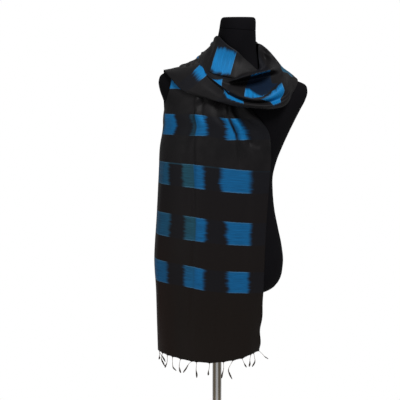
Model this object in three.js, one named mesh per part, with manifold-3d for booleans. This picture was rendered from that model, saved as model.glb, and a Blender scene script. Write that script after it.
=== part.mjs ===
// A long silk scarf worn once round the neck of a limbless dress form on a steel stand.
// One end hangs down the front from the form's right shoulder. The cloth then goes round the nape,
// over the left shoulder, hangs across the chest as a cowl, lies over its own beginning on the right
// shoulder and hangs down the back.
//
// Millimetres, +Z up, the form faces -Y. The origin is the centre of the base plate's underside.
import * as THREE from "three";
import { mergeVertices } from "three/addons/utils/BufferGeometryUtils.js";
import Module from "manifold-3d";

const wasm = await Module();
wasm.setup();

// ---- driving dimensions ----
const CLOTH_WIDTH = 400;
const CLOTH_WALL = 1.6;
const SEAM_GAP = 0.4;

const PLATE_RADIUS = 160;
const PLATE_HEIGHT = 8;
const BOSS_RADIUS = 24;
const BOSS_HEIGHT = 22;
const POLE_RADIUS = 12;
const SOCKET_RADIUS = 21;
const SOCKET_HEIGHT = 30;
const TOUCH = 0.3; // gap between pieces that touch

const FORM_FOOT = 783; // height of the form's underside above the floor
const FORM_LEAN = THREE.MathUtils.degToRad(4.2); // the form sits a little askew on its pole
const FORM_SQUARENESS = 2.2; // exponent of the form's oval sections
const FORM_SEGMENTS = 36;
const NECK_SEAM = 685; // where the neck's cap starts, above the form's foot
const FORM_TOP = 716;

// ---- materials ----
const material = (color, roughness, metalness = 0) =>
  new THREE.MeshStandardMaterial({ color, roughness, metalness });
const STEEL = material(0xb9b7b2, 0.22, 1);
const JERSEY = material(0x17171a, 0.85);
const SILK = material(0x14303f, 0.45);
const YARN = material(0x2a221d, 0.7);

// ---- splines through rows of a table ----
// Value at position t of a smooth curve through the listed numbers, one apart.
function spline(list, t) {
  const last = list.length - 1;
  const i = Math.min(last - 1, Math.max(0, Math.floor(t)));
  const f = t - i;
  const at = (k) => {
    if (k < 0) return 2 * list[0] - list[1];
    if (k > last) return 2 * list[last] - list[last - 1];
    return list[k];
  };
  const [a, b, c, d] = [at(i - 1), at(i), at(i + 1), at(i + 2)];
  const square = (2 * a - 5 * b + 4 * c - d) * f * f;
  const cube = (3 * b - a - 3 * c + d) * f ** 3;
  return 0.5 * (2 * b + (c - a) * f + square + cube);
}

const smooth = (t) => {
  const k = Math.min(1, Math.max(0, t));
  return k * k * (3 - 2 * k);
};

// ---- the dress form ----
// One row for each level: height above the foot, half its width, and its reach forward and backward.
const FORM_LEVELS = [
  { height: 0, half: 88, front: 55, back: 64 },
  { height: 10, half: 124, front: 75, back: 85 },
  { height: 24, half: 147, front: 89, back: 99 },
  { height: 38, half: 158, front: 96, back: 106 },
  { height: 62, half: 166, front: 102, back: 112 },
  { height: 92, half: 167, front: 104, back: 115 },
  { height: 134, half: 160, front: 100, back: 108 },
  { height: 179, half: 147, front: 91, back: 96 },
  { height: 233, half: 132, front: 82, back: 82 },
  { height: 273, half: 125, front: 78, back: 74 },
  { height: 314, half: 121, front: 77, back: 70 },
  { height: 355, half: 127, front: 82, back: 70 },
  { height: 395, half: 139, front: 92, back: 74 },
  { height: 437, half: 154, front: 104, back: 79 },
  { height: 465, half: 165, front: 106, back: 83 },
  { height: 494, half: 177, front: 101, back: 86 },
  { height: 520, half: 188, front: 92, back: 88 },
  { height: 538, half: 192, front: 84, back: 88 },
  { height: 551, half: 190, front: 77, back: 86 },
  { height: 559, half: 184, front: 71, back: 83 },
  { height: 563, half: 175, front: 67, back: 81 },
  { height: 567, half: 161, front: 63, back: 79 },
  { height: 571, half: 145, front: 60, back: 77 },
  { height: 576, half: 126, front: 58, back: 75 },
  { height: 580, half: 109, front: 56, back: 73 },
  { height: 585, half: 91, front: 54, back: 71 },
  { height: 593, half: 77, front: 53, back: 68 },
  { height: 604, half: 66, front: 53, back: 65 },
  { height: 620, half: 57, front: 54, back: 61 },
  { height: 640, half: 51, front: 57, back: 55 },
  { height: 662, half: 49, front: 60, back: 49 },
  { height: NECK_SEAM, half: 46.5, front: 62, back: 44 },
  { height: FORM_TOP, half: 44.5, front: 61, back: 40 },
];

// The form's half width and reaches at any height above its foot, by a smooth curve that never
// swings past its rows.
function formLevel(height) {
  const rows = FORM_LEVELS;
  const h = Math.min(FORM_TOP, Math.max(0, height));
  const k = rows.findIndex((row, i) => i > 0 && h <= row.height);
  const rise = (i) => rows[i].height - rows[i - 1].height;
  const f = (h - rows[k - 1].height) / rise(k);
  const value = (name) => {
    const pace = (i) => (rows[i][name] - rows[i - 1][name]) / rise(i);
    const slope = (i) => {
      if (i === 0 || i === rows.length - 1) return pace(Math.max(1, i));
      const [before, after] = [pace(i), pace(i + 1)];
      return before * after <= 0 ? 0 : (2 * before * after) / (before + after);
    };
    const [low, high] = [rows[k - 1][name], rows[k][name]];
    const [start, end] = [slope(k - 1) * rise(k), slope(k) * rise(k)];
    const bend = low + start * f + (3 * (high - low) - 2 * start - end) * f * f;
    return bend + (start + end - 2 * (high - low)) * f ** 3;
  };
  return { half: value("half"), front: value("front"), back: value("back") };
}

// A point of the room seen from the leaning form, and the other way round.
const toForm = (x, z) => [
  x * Math.cos(FORM_LEAN) - (z - FORM_FOOT) * Math.sin(FORM_LEAN),
  x * Math.sin(FORM_LEAN) + (z - FORM_FOOT) * Math.cos(FORM_LEAN),
];

// How far forward the form reaches at a place seen from straight ahead.
function formReach(x, z) {
  const [across, height] = toForm(x, z);
  const { half, front } = formLevel(height);
  const share = Math.min(1, Math.abs(across) / half);
  return front * (1 - share ** FORM_SQUARENESS) ** (1 / FORM_SQUARENESS);
}

// How far a point lies outside the form, about: negative inside.
function offForm(point) {
  const measure = (x, y, z) => {
    const [across, height] = toForm(x, z);
    const level = formLevel(height);
    const reach = y < 0 ? level.front : level.back;
    const n = FORM_SQUARENESS;
    const radius = Math.hypot(across, y) || 1;
    const size = ((Math.abs(across) / level.half) ** n + (Math.abs(y) / reach) ** n) ** (1 / n) || 1e-6;
    return radius - radius / size + Math.max(0, height - FORM_TOP);
  };
  const e = 3;
  const here = measure(point.x, point.y, point.z);
  const slope = new THREE.Vector3(
    measure(point.x + e, point.y, point.z) - measure(point.x - e, point.y, point.z),
    measure(point.x, point.y + e, point.z) - measure(point.x, point.y - e, point.z),
    measure(point.x, point.y, point.z + e) - measure(point.x, point.y, point.z - e),
  ).divideScalar(2 * e);
  return { distance: here / Math.max(slope.length(), 0.5), direction: slope.normalize() };
}

// Moves a point out until it is at least gap off the form.
function clearOfForm(point, gap) {
  const p = point.clone();
  for (let step = 0; step < 12; step++) {
    const { distance, direction } = offForm(p);
    if (distance >= gap - 0.001) break;
    p.addScaledVector(direction, gap - distance);
  }
  return p;
}

// A closed solid through rings of points, flat at both ends.
function ringSolid(rings) {
  const count = rings[0].length;
  const points = rings.flat();
  const index = [];
  for (let r = 0; r + 1 < rings.length; r++)
    for (let s = 0; s < count; s++) {
      const [a, b] = [r * count + s, r * count + ((s + 1) % count)];
      index.push(a, b, b + count, a, b + count, a + count);
    }
  for (const [ring, flip] of [[0, true], [rings.length - 1, false]]) {
    const centre = rings[ring].reduce((sum, p) => sum.add(p), new THREE.Vector3()).divideScalar(count);
    points.push(centre);
    for (let s = 0; s < count; s++) {
      const [a, b] = [ring * count + s, ring * count + ((s + 1) % count)];
      if (flip) index.push(b, a, points.length - 1);
      else index.push(a, b, points.length - 1);
    }
  }
  return indexed(points, index);
}

// A geometry from points and triangles, turned so that its faces point out.
function indexed(points, index) {
  let volume = 0;
  for (let i = 0; i < index.length; i += 3) {
    const [a, b, c] = [points[index[i]], points[index[i + 1]], points[index[i + 2]]];
    volume += a.dot(b.clone().cross(c));
  }
  if (volume < 0)
    for (let i = 0; i < index.length; i += 3) [index[i + 1], index[i + 2]] = [index[i + 2], index[i + 1]];
  const geometry = new THREE.BufferGeometry().setFromPoints(points);
  geometry.setIndex(index);
  geometry.computeVertexNormals();
  return geometry;
}

// One oval ring of the form at a height.
function formRing(height, shrink = 0) {
  const level = formLevel(height);
  const power = 2 / FORM_SQUARENESS;
  const bend = (v) => Math.sign(v) * Math.abs(v) ** power;
  return Array.from({ length: FORM_SEGMENTS }, (_, s) => {
    const angle = (2 * Math.PI * s) / FORM_SEGMENTS;
    const reach = Math.sin(angle) < 0 ? level.front : level.back;
    return new THREE.Vector3(
      (level.half - shrink) * bend(Math.cos(angle)),
      (reach - shrink) * bend(Math.sin(angle)),
      height,
    );
  });
}

function dressForm() {
  const rows = FORM_LEVELS.map((row) => row.height).filter((h) => h <= NECK_SEAM);
  const heights = rows.flatMap((h, k) => (k && h > 520 && h < 560 ? [(h + rows[k - 1]) / 2, h] : [h]));
  return ringSolid(heights.map((h) => formRing(h)));
}

// The cap closes the neck. Its rim is rounded and its top is level in the room.
function neckCap() {
  const rise = FORM_TOP - NECK_SEAM - TOUCH;
  const edge = [
    { up: 0, inset: 0.6 },
    { up: 0.06, inset: 0 },
    { up: 0.55, inset: 0 },
    { up: 0.8, inset: 0.5 },
    { up: 0.94, inset: 2 },
    { up: 1, inset: 5 },
  ];
  const rings = edge.map((e) => formRing(NECK_SEAM + TOUCH + e.up * rise, e.inset));
  rings.forEach((ring, k) => ring.forEach((p) => (p.z += p.x * Math.tan(FORM_LEAN) * edge[k].up)));
  return ringSolid(rings);
}

// ---- the stand ----
const lathe = (profile, segments) =>
  mergeVertices(
    new THREE.LatheGeometry(
      profile.map(([r, z]) => new THREE.Vector2(r, z)),
      segments,
    )
      .rotateX(Math.PI / 2)
      .deleteAttribute("uv")
      .deleteAttribute("normal"),
    1e-3,
  );

function basePlate() {
  const [r, h, bevel] = [PLATE_RADIUS, PLATE_HEIGHT, 2];
  return lathe([[0, 0], [r, 0], [r, h - bevel], [r - bevel, h], [0, h]], 48);
}

function boss() {
  const [r, foot, top] = [BOSS_RADIUS, PLATE_HEIGHT + TOUCH, PLATE_HEIGHT + BOSS_HEIGHT];
  const chamfer = 3;
  return lathe([[0, foot], [r, foot], [r, top - chamfer], [r - chamfer, top], [0, top]], 24);
}

// The pole's top is cut to the slope of the leaning socket above it.
function pole() {
  const foot = PLATE_HEIGHT + BOSS_HEIGHT + TOUCH;
  const top = FORM_FOOT - SOCKET_HEIGHT / Math.cos(FORM_LEAN) - TOUCH;
  const geometry = lathe([[0, foot], [POLE_RADIUS, foot], [POLE_RADIUS, top], [0, top]], 24);
  const place = geometry.getAttribute("position");
  for (let i = 0; i < place.count; i++)
    if (place.getZ(i) > foot + 1) place.setZ(i, top - place.getX(i) * Math.tan(FORM_LEAN));
  return geometry;
}

function socket() {
  const [r, foot, top] = [SOCKET_RADIUS, -SOCKET_HEIGHT, -TOUCH];
  const chamfer = 2;
  return lathe([[0, foot], [r - chamfer, foot], [r, foot + chamfer], [r, top], [0, top]], 24);
}

// ---- the scarf ----
// Eleven lines run the whole length of the cloth. Each is named for the fold it makes in the cowl,
// from the selvedge at the neck to the outer selvedge. The scarf is a net of these lines and of
// sections across the cloth, and its wall is smooth between them. A section's gap is the least its
// wall's middle stands off the form, and edge is the same at the outer selvedge where it differs.
const LINES = [
  "neckline", "yoke", "brow", "shelf", "lip", "pocket", "roll", "crease", "swag", "brim", "selvedge",
];

// A section by its named places on the chest: x, z and how far each stands off the form.
const placed = (row) => ({
  gap: row.gap,
  points: LINES.map((name) => {
    const [x, z, out] = row[name];
    return new THREE.Vector3(x, -formReach(x, z) - out, z);
  }),
});

// A section whose places are x, y and z in the room.
const inRoom = (row) => ({
  gap: row.gap,
  edge: row.edge,
  points: LINES.map((name) => new THREE.Vector3(...row[name])),
});

// A section along the ridge of a shoulder, a little behind the form's middle.
const RIDGE = 4;
const onShoulder = (row) => ({
  gap: row.gap,
  edge: row.edge,
  points: LINES.map((name) => new THREE.Vector3(row[name][0], RIDGE, row[name][1])),
});

// A section laid in pleats between two places [x, y, z]. The pleats stand out the way it faces, an
// angle in plan from straight back towards the form's left.
const pleated = (row) => ({
  gap: row.gap,
  points: LINES.map((_, k) => {
    const share = k / (LINES.length - 1);
    const out = row.bow * 4 * share * (1 - share) + (k % 2 ? row.pleat * (1 - 0.25 * Math.cos(1.7 * k)) : 0);
    const turn = THREE.MathUtils.degToRad(row.facing);
    return new THREE.Vector3(...row.inner)
      .lerp(new THREE.Vector3(...row.outer), share)
      .add(new THREE.Vector3(Math.sin(turn), Math.cos(turn), 0).multiplyScalar(out));
  }),
});

// The front end hangs as part of an upright oval: its level at the front, how much lower its inner
// edge hangs than its outer, the oval's middle, half width and reach forward, and where its inner
// selvedge lies. The cloth's width is laid along the oval, or the share of it that spread gives.
const FRONT_LEVELS = [
  { level: 629, drop: -6, middle: -14, half: 144, reach: 124, inner: 109 },
  { level: 704, drop: 0, middle: -8, half: 152, reach: 116, inner: 113 },
  { level: 786, drop: 8, middle: -1, half: 161, reach: 116, inner: 117 },
  { level: 866, drop: 16, middle: 3, half: 169, reach: 116, inner: 119 },
  { level: 976, drop: 23, middle: 5, half: 164, reach: 114, inner: 123 },
  { level: 1086, drop: 26, middle: 8, half: 161, reach: 114, inner: 130 },
  { level: 1160, drop: 22, middle: 12, half: 161, reach: 115, inner: 134 },
  { level: 1214, drop: 14, middle: 16, half: 158, reach: 116, inner: 126, spread: 0.86 },
  { level: 1258, drop: 8, middle: 15, half: 154, reach: 118, inner: 93, spread: 0.7 },
];

// Points at even steps of cloth along the oval, from the inner selvedge round the front and side.
function frontSection(row) {
  const span = CLOTH_WIDTH * (row.spread ?? 1);
  const steps = 400;
  const angles = [Math.asin((row.inner - row.middle) / row.half)];
  for (let i = 0; i < steps; i++) {
    const angle = angles[i];
    angles.push(angle - span / steps / Math.hypot(row.half * Math.cos(angle), row.reach * Math.sin(angle)));
  }
  const points = LINES.map((_, k) => {
    const angle = angles[Math.round((k / (LINES.length - 1)) * steps)];
    const x = row.middle + row.half * Math.sin(angle);
    const side = smooth((x - row.middle) / (2 * row.half) + 0.5);
    return new THREE.Vector3(x, -row.reach * Math.cos(angle), row.level + row.drop * (0.5 - side));
  });
  return { gap: 2.7, points };
}

// The front end where it narrows under the cowl, from below upwards.
const GATHERED = [
  {
    gap: 3, neckline: [63, 1291, 8], yoke: [50, 1294, 9], brow: [36, 1296, 7], shelf: [21, 1298, 8],
    lip: [4, 1299, 6], pocket: [-14, 1300, 7], roll: [-33, 1301, 8], crease: [-54, 1302, 9],
    swag: [-78, 1302, 7], brim: [-103, 1302, 6], selvedge: [-127, 1301, 6],
  },
  {
    gap: 3, neckline: [40, 1332, 5], yoke: [29, 1333, 5], brow: [17, 1334, 5], shelf: [4, 1335, 5],
    lip: [-10, 1336, 5], pocket: [-25, 1336, 5], roll: [-42, 1336, 5], crease: [-60, 1336, 5],
    swag: [-79, 1335, 5], brim: [-99, 1334, 5], selvedge: [-119, 1332, 5],
  },
];
const ON_CHEST = [
  {
    gap: 3, neckline: [18, -55, 1384], yoke: [8, -53, 1380], brow: [-3, -52, 1376], shelf: [-15, -52, 1373],
    lip: [-28, -52, 1370], pocket: [-41, -52, 1367], roll: [-55, -51, 1364], crease: [-70, -50, 1361],
    swag: [-85, -49, 1358], brim: [-101, -48, 1355], selvedge: [-118, -46, 1350],
  },
  {
    gap: 3, neckline: [-4, -32, 1410], yoke: [-10, -30, 1402], brow: [-17, -28, 1394],
    shelf: [-26, -27, 1387], lip: [-36, -26, 1381], pocket: [-47, -25, 1377], roll: [-58, -24, 1374],
    crease: [-71, -24, 1370], swag: [-82, -24, 1367], brim: [-94, -23, 1364], selvedge: [-107, -22, 1361],
  },
];

// Where the front end tops the right shoulder, under the cowl.
const UNDER_SHOULDER = {
  gap: 3, neckline: [-8, 1424], yoke: [-14, 1412], brow: [-21, 1402], shelf: [-29, 1393], lip: [-38, 1386],
  pocket: [-47, 1381], roll: [-57, 1377], crease: [-67, 1374], swag: [-77, 1371], brim: [-87, 1368],
  selvedge: [-97, 1366],
};

// Round the nape, from the right shoulder to the left one.
const NAPE = [
  { gap: 4.5, inner: [3, 38, 1431], outer: [-76, 74, 1346], facing: -40, bow: 4, pleat: 2 },
  { gap: 5, inner: [48, 63, 1437], outer: [40, 97, 1326], facing: 0, bow: -3, pleat: 6 },
  { gap: 6, inner: [88, 42, 1434], outer: [162, 70, 1332], facing: 45, bow: 0, pleat: 6 },
];

// Where the cloth tops the left shoulder and comes forward.
const LEFT_SHOULDER = {
  gap: 6, neckline: [102, 1430], yoke: [108, 1430], brow: [118, 1424], shelf: [132, 1411], lip: [150, 1389],
  pocket: [163, 1374], roll: [174, 1365], crease: [182, 1360], swag: [188, 1355], brim: [194, 1350],
  selvedge: [199, 1343],
};

// The cowl, from the left shoulder down over the chest and up to the right shoulder.
const COWL = [
  {
    gap: 6, neckline: [103, -12, 1416], yoke: [110, -5, 1416], brow: [121, -1, 1408], shelf: [137, -8, 1398],
    lip: [153, -16, 1381], pocket: [163, -32, 1363], roll: [173, -52, 1349], crease: [180, -54, 1336],
    swag: [186, -58, 1329], brim: [190, -58, 1322], selvedge: [194, -56, 1318],
  },
  {
    gap: 6, neckline: [103, -26, 1400], yoke: [110, -14, 1398], brow: [122, -6, 1389],
    shelf: [137, -20, 1383], lip: [149, -36, 1371], pocket: [155, -63, 1351], roll: [162, -104, 1331],
    crease: [169, -103, 1307], swag: [172, -116, 1298], brim: [170, -104, 1283],
    selvedge: [162, -83, 1282],
  },
  {
    gap: 5, neckline: [104, -47, 1375], yoke: [110, -54, 1373], brow: [118, -55, 1370],
    shelf: [122, -70, 1367], lip: [125, -86, 1366], pocket: [129, -84, 1336], roll: [130, -133, 1308],
    crease: [132, -125, 1290], swag: [132, -141, 1282], brim: [133, -126, 1272],
    selvedge: [128, -101, 1278],
  },
  {
    gap: 5, neckline: [99, -55, 1366], yoke: [96, -62, 1363], brow: [95, -71, 1362],
    shelf: [94, -84, 1360], lip: [95, -100, 1359], pocket: [99, -93, 1327], roll: [92, -144, 1300],
    crease: [92, -134, 1289], swag: [91, -150, 1282], brim: [92, -136, 1274],
    selvedge: [88, -112, 1278],
  },
  {
    gap: 6, neckline: [84, -55, 1379], yoke: [75, -66, 1368], brow: [67, -79, 1357],
    shelf: [66, -86, 1355], lip: [68, -102, 1352], pocket: [71, -97, 1327], roll: [60, -139, 1305],
    crease: [55, -130, 1295], swag: [50, -146, 1288], brim: [46, -138, 1278],
    selvedge: [41, -117, 1283],
  },
  {
    gap: 8, neckline: [64, -60, 1396], yoke: [55, -69, 1376], brow: [45, -87, 1352],
    shelf: [43, -84, 1346], lip: [41, -98, 1343], pocket: [43, -95, 1332], roll: [36, -123, 1314],
    crease: [31, -118, 1304], swag: [21, -134, 1297], brim: [11, -130, 1288],
    selvedge: [2, -116, 1290],
  },
  {
    gap: 9, neckline: [45, -65, 1414], yoke: [37, -68, 1385], brow: [28, -85, 1354],
    shelf: [26, -83, 1346], lip: [23, -91, 1341], pocket: [19, -93, 1332], roll: [16, -109, 1322],
    crease: [14, -104, 1315], swag: [1, -121, 1304], brim: [-16, -118, 1296],
    selvedge: [-28, -109, 1296],
  },
  {
    gap: 9, neckline: [12, -53, 1434], yoke: [-7, -54, 1398], brow: [-20, -71, 1366],
    shelf: [-23, -71, 1361], lip: [-24, -73, 1358], pocket: [-25, -74, 1356], roll: [-27, -79, 1353],
    crease: [-30, -77, 1350], swag: [-48, -92, 1338], brim: [-70, -94, 1322],
    selvedge: [-88, -86, 1315],
  },
  {
    gap: 9, edge: 8, neckline: [-5, -31, 1441], yoke: [-13, -29, 1417], brow: [-25, -37, 1394],
    shelf: [-29, -41, 1389], lip: [-32, -42, 1385], pocket: [-34, -43, 1382], roll: [-37, -45, 1378],
    crease: [-44, -47, 1375], swag: [-67, -52, 1367], brim: [-94, -57, 1357], selvedge: [-120, -53, 1346],
  },
];

// Where the cowl's end tops the right shoulder, over the front end.
const RIGHT_SHOULDER = {
  gap: 9, edge: 6, neckline: [-9, 1442], yoke: [-15, 1431], brow: [-25, 1418], shelf: [-31, 1411],
  lip: [-36, 1405], pocket: [-41, 1399], roll: [-46, 1393], crease: [-54, 1385], swag: [-79, 1377],
  brim: [-106, 1370], selvedge: [-132, 1361],
};

// The end that hangs down the back, from the right shoulder to its hem.
const TAIL = [
  { gap: 12, inner: [-1, 70, 1413], outer: [-136, 52, 1348], facing: -10, bow: 22, pleat: 3 },
  { gap: 14, inner: [20, 110, 1332], outer: [-130, 84, 1294], facing: -5, bow: 18, pleat: 7 },
  { gap: 11, inner: [46, 104, 1246], outer: [-128, 92, 1216], facing: 0, bow: 8, pleat: 14 },
  { gap: 11, inner: [66, 94, 1140], outer: [-128, 96, 1122], facing: 0, bow: 4, pleat: 20 },
  { gap: 11, inner: [80, 92, 1010], outer: [-134, 94, 994], facing: 0, bow: 4, pleat: 24 },
];

// Soft folds pressed into the cloth, each along a straight run over the net: where it starts and
// ends (line number across, section number along), how far it rises or sinks, and half its width.
const FOLDS = [
  { name: "front_pleat", from: [5.1, 3.5], to: [5.9, 9.2], rise: -5, half: 0.35 },
  { name: "under_ridge", from: [6.4, 8.2], to: [6.6, 10], rise: 4, half: 0.4 },
  { name: "edge_loop", from: [0.4, 7.2], to: [1.1, 9.4], rise: 7, half: 0.45 },
  { name: "edge_trough", from: [1.4, 7.5], to: [2.2, 9.4], rise: -7, half: 0.5 },
  { name: "inner_ridge", from: [2.4, 6.9], to: [3.1, 9.4], rise: 6, half: 0.45 },
  { name: "inner_trough", from: [3.2, 7], to: [3.9, 9.4], rise: -5, half: 0.45 },
];

// The rise of all folds at a place: each is fullest in its middle and dies away at its ends.
function foldsAt(s, t) {
  return FOLDS.reduce((sum, { from, to, rise, half }) => {
    const share = (t - from[1]) / (to[1] - from[1]);
    if (share <= 0 || share >= 1) return sum;
    const off = (s - THREE.MathUtils.lerp(from[0], to[0], share)) / half;
    return sum + rise * smooth(3 * share) * smooth(3 - 3 * share) * Math.exp(-off * off);
  }, 0);
}

const SECTIONS = [
  ...FRONT_LEVELS.map(frontSection),
  ...GATHERED.map(placed),
  ...ON_CHEST.map(inRoom),
  onShoulder(UNDER_SHOULDER),
  ...NAPE.map(pleated),
  onShoulder(LEFT_SHOULDER),
  ...COWL.map(inRoom),
  onShoulder(RIGHT_SHOULDER),
  ...TAIL.map(pleated),
];
// Where along the sections the stretches meet.
const HEM = 0;
const NAPE_STARTS = FRONT_LEVELS.length + GATHERED.length + ON_CHEST.length;
const COWL_STARTS = NAPE_STARTS + NAPE.length + 1;
const TAIL_STARTS = COWL_STARTS + COWL.length + 1;
const TAIL_HEM = SECTIONS.length - 1;

// A place on the net before folds: s runs across over the lines and t along over the sections.
function netAt(s, t) {
  const first = Math.max(0, Math.floor(t) - 1);
  const near = SECTIONS.slice(first, first + 4);
  const axis = (name) => spline(near.map(({ points }) => spline(points.map((p) => p[name]), s)), t - first);
  return new THREE.Vector3(axis("x"), axis("y"), axis("z"));
}

// The outward direction of the cloth at a place of a surface given by a function.
const TINY = 0.02;
function outward(surface, s, t) {
  const last = LINES.length - 1;
  const overAcross = surface(Math.min(last, s + TINY), t).sub(surface(Math.max(0, s - TINY), t));
  const overAlong = surface(s, Math.min(TAIL_HEM, t + TINY)).sub(surface(s, Math.max(0, t - TINY)));
  return overAlong.cross(overAcross).normalize();
}

// The middle of the wall: the net with its folds, kept clear of the form.
function clothAt(s, t) {
  const rise = foldsAt(s, t);
  const place = netAt(s, t);
  if (rise) place.addScaledVector(outward(netAt, s, t), rise);
  const gapAt = ({ gap, edge }) => THREE.MathUtils.lerp(gap, edge ?? gap, smooth(s / 4 - 1.5));
  const low = gapAt(SECTIONS[Math.floor(t)]);
  const high = gapAt(SECTIONS[Math.min(TAIL_HEM, Math.floor(t) + 1)]);
  return clearOfForm(place, THREE.MathUtils.lerp(low, high, t - Math.floor(t)));
}

// The two faces of the wall at a place.
function wallAt(s, t) {
  const half = outward(clothAt, s, t).multiplyScalar(CLOTH_WALL / 2);
  const at = clothAt(s, t);
  return [at.clone().add(half), at.sub(half)];
}

// One stretch of the scarf as a wall from one section to another, in so many steps across and so
// many over each section. Where it meets the next stretch it stops half a seam's gap short.
function stretch(from, to, across, stepsOver) {
  const trimmed = (s, t, way) => {
    if (t === HEM || t === TAIL_HEM) return t;
    return t + (way * TINY * SEAM_GAP) / 2 / clothAt(s, t).distanceTo(clothAt(s, t + way * TINY));
  };
  const places = [from];
  for (let section = from; section < to; section++) {
    const steps = stepsOver(section);
    for (let i = 1; i <= steps; i++) places.push(section + i / steps);
  }
  const faces = [[], []];
  for (const t of places)
    for (let k = 0; k <= across; k++) {
      const s = ((LINES.length - 1) * k) / across;
      const way = (t === from) - (t === to);
      const [outer, inner] = wallAt(s, way ? trimmed(s, t, way) : t);
      faces[0].push(outer);
      faces[1].push(inner);
    }
  return gridSolid(faces, across + 1, places.length);
}

// A closed wall between two grids of points.
function gridSolid([outer, inner], wide, long) {
  const points = [...outer, ...inner];
  const index = [];
  const far = outer.length;
  const cell = (i, k) => i * wide + k;
  const quad = (a, b, c, d) => index.push(a, b, c, a, c, d);
  for (let i = 0; i + 1 < long; i++)
    for (let k = 0; k + 1 < wide; k++) {
      const [a, b, c, d] = [cell(i, k), cell(i, k + 1), cell(i + 1, k + 1), cell(i + 1, k)];
      quad(a, b, c, d);
      quad(far + d, far + c, far + b, far + a);
    }
  const rim = (a, b) => quad(b, a, far + a, far + b);
  for (let k = 0; k + 1 < wide; k++) {
    rim(cell(0, k), cell(0, k + 1));
    rim(cell(long - 1, k + 1), cell(long - 1, k));
  }
  for (let i = 0; i + 1 < long; i++) {
    rim(cell(i + 1, 0), cell(i, 0));
    rim(cell(i, wide - 1), cell(i + 1, wide - 1));
  }
  return indexed(points, index);
}

// ---- the fringes ----
// Tassels along a hem: place across the cloth as a share of its width, length, sideways sway and
// how far the tip is bent.
const FRONT_TASSELS = [
  { at: 0.02, length: 34, sway: 26, bend: 10 },
  { at: 0.1, length: 44, sway: -6, bend: -8 },
  { at: 0.15, length: 40, sway: -2, bend: 3 },
  { at: 0.22, length: 36, sway: 6, bend: 10 },
  { at: 0.34, length: 52, sway: -9, bend: 14 },
  { at: 0.42, length: 44, sway: -2, bend: -5 },
  { at: 0.5, length: 38, sway: 2, bend: -6 },
  { at: 0.59, length: 46, sway: 1, bend: 2 },
  { at: 0.65, length: 38, sway: -5, bend: -9 },
  { at: 0.71, length: 42, sway: -3, bend: 6 },
  { at: 0.77, length: 40, sway: -2, bend: 8 },
  { at: 0.83, length: 30, sway: 1, bend: -2 },
  { at: 0.89, length: 40, sway: 8, bend: -8 },
  { at: 0.96, length: 30, sway: -3, bend: 4 },
];
const BACK_TASSELS = Array.from({ length: 14 }, (_, k) => ({
  at: (k + 0.5) / 14,
  length: 38 + 6 * Math.sin(2.3 * k),
  sway: 5 * Math.sin(1.7 * k + 1),
  bend: 7 * Math.cos(2.9 * k),
}));
const STRIP_HEIGHT = 4;
// Thickness along a tassel: a thin twisted thread, then a fuller tip beyond its knot.
const TASSEL_SHAPE = [
  { down: 0, half: 0.8 },
  { down: 0.3, half: 0.65 },
  { down: 0.6, half: 0.65 },
  { down: 0.68, half: 1.3 },
  { down: 0.92, half: 1.15 },
  { down: 1, half: 0.5 },
];

function solidOf(geometry) {
  const merged = mergeVertices(geometry.clone().deleteAttribute("normal"), 1e-4);
  return new wasm.Manifold(
    new wasm.Mesh({
      numProp: 3,
      vertProperties: merged.getAttribute("position").array,
      triVerts: new Uint32Array(merged.index.array),
    }),
  );
}

function geometryOf(solid) {
  const mesh = solid.getMesh();
  const geometry = new THREE.BufferGeometry();
  geometry.setAttribute("position", new THREE.BufferAttribute(mesh.vertProperties, 3));
  geometry.setIndex(new THREE.BufferAttribute(mesh.triVerts, 1));
  return geometry;
}

function tassel(root, { length, sway, bend }) {
  const rings = TASSEL_SHAPE.map(({ down, half }) => {
    const x = root.x + sway * smooth(down) + bend * Math.max(0, down - 0.55);
    const z = root.z - length * down + 0.3 * Math.abs(sway) * down * down;
    return [[1, 1], [-1, 1], [-1, -1], [1, -1]].map(
      ([i, j]) => new THREE.Vector3(x + i * half, root.y + j * half, z),
    );
  });
  return ringSolid(rings);
}

// A narrow strip just below a hem, with its tassels fused to it.
function fringe(hemAt, tassels, across) {
  const lines = LINES.length - 1;
  const hem = (s) => clothAt(Math.min(lines, Math.max(0, s)), hemAt);
  const lowered = (s, drop) => hem(s).sub(new THREE.Vector3(0, 0, drop));
  const faces = [[], []];
  for (const drop of [SEAM_GAP, SEAM_GAP + STRIP_HEIGHT])
    for (let k = 0; k <= across; k++) {
      const s = (lines * k) / across;
      const run = hem(s + TINY).sub(hem(s - TINY));
      const half = new THREE.Vector3(run.y, -run.x, 0).setLength(CLOTH_WALL / 2);
      faces[0].push(lowered(s, drop).add(half));
      faces[1].push(lowered(s, drop).sub(half));
    }
  let solid = solidOf(gridSolid(faces, across + 1, 2));
  for (const row of tassels) {
    const cell = Math.floor(row.at * across);
    const [a, b] = [cell, cell + 1].map((k) => lowered((lines * k) / across, SEAM_GAP + 1));
    solid = solid.add(solidOf(tassel(a.lerp(b, row.at * across - cell), row)));
  }
  return geometryOf(solid);
}

// ---- the whole object ----
const scarfOnForm = new THREE.Group();

function add(parent, name, geometry, finish) {
  const mesh = new THREE.Mesh(geometry, finish);
  mesh.name = name;
  parent.add(mesh);
}

add(scarfOnForm, "base_plate", basePlate(), STEEL);
add(scarfOnForm, "pole_boss", boss(), STEEL);
add(scarfOnForm, "pole", pole(), STEEL);

const leaning = new THREE.Group();
leaning.position.z = FORM_FOOT;
leaning.rotation.y = FORM_LEAN;
scarfOnForm.add(leaning);
add(leaning, "form_socket", socket(), STEEL);
add(leaning, "dress_form", dressForm(), JERSEY);
add(leaning, "neck_cap", neckCap(), JERSEY);

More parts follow.
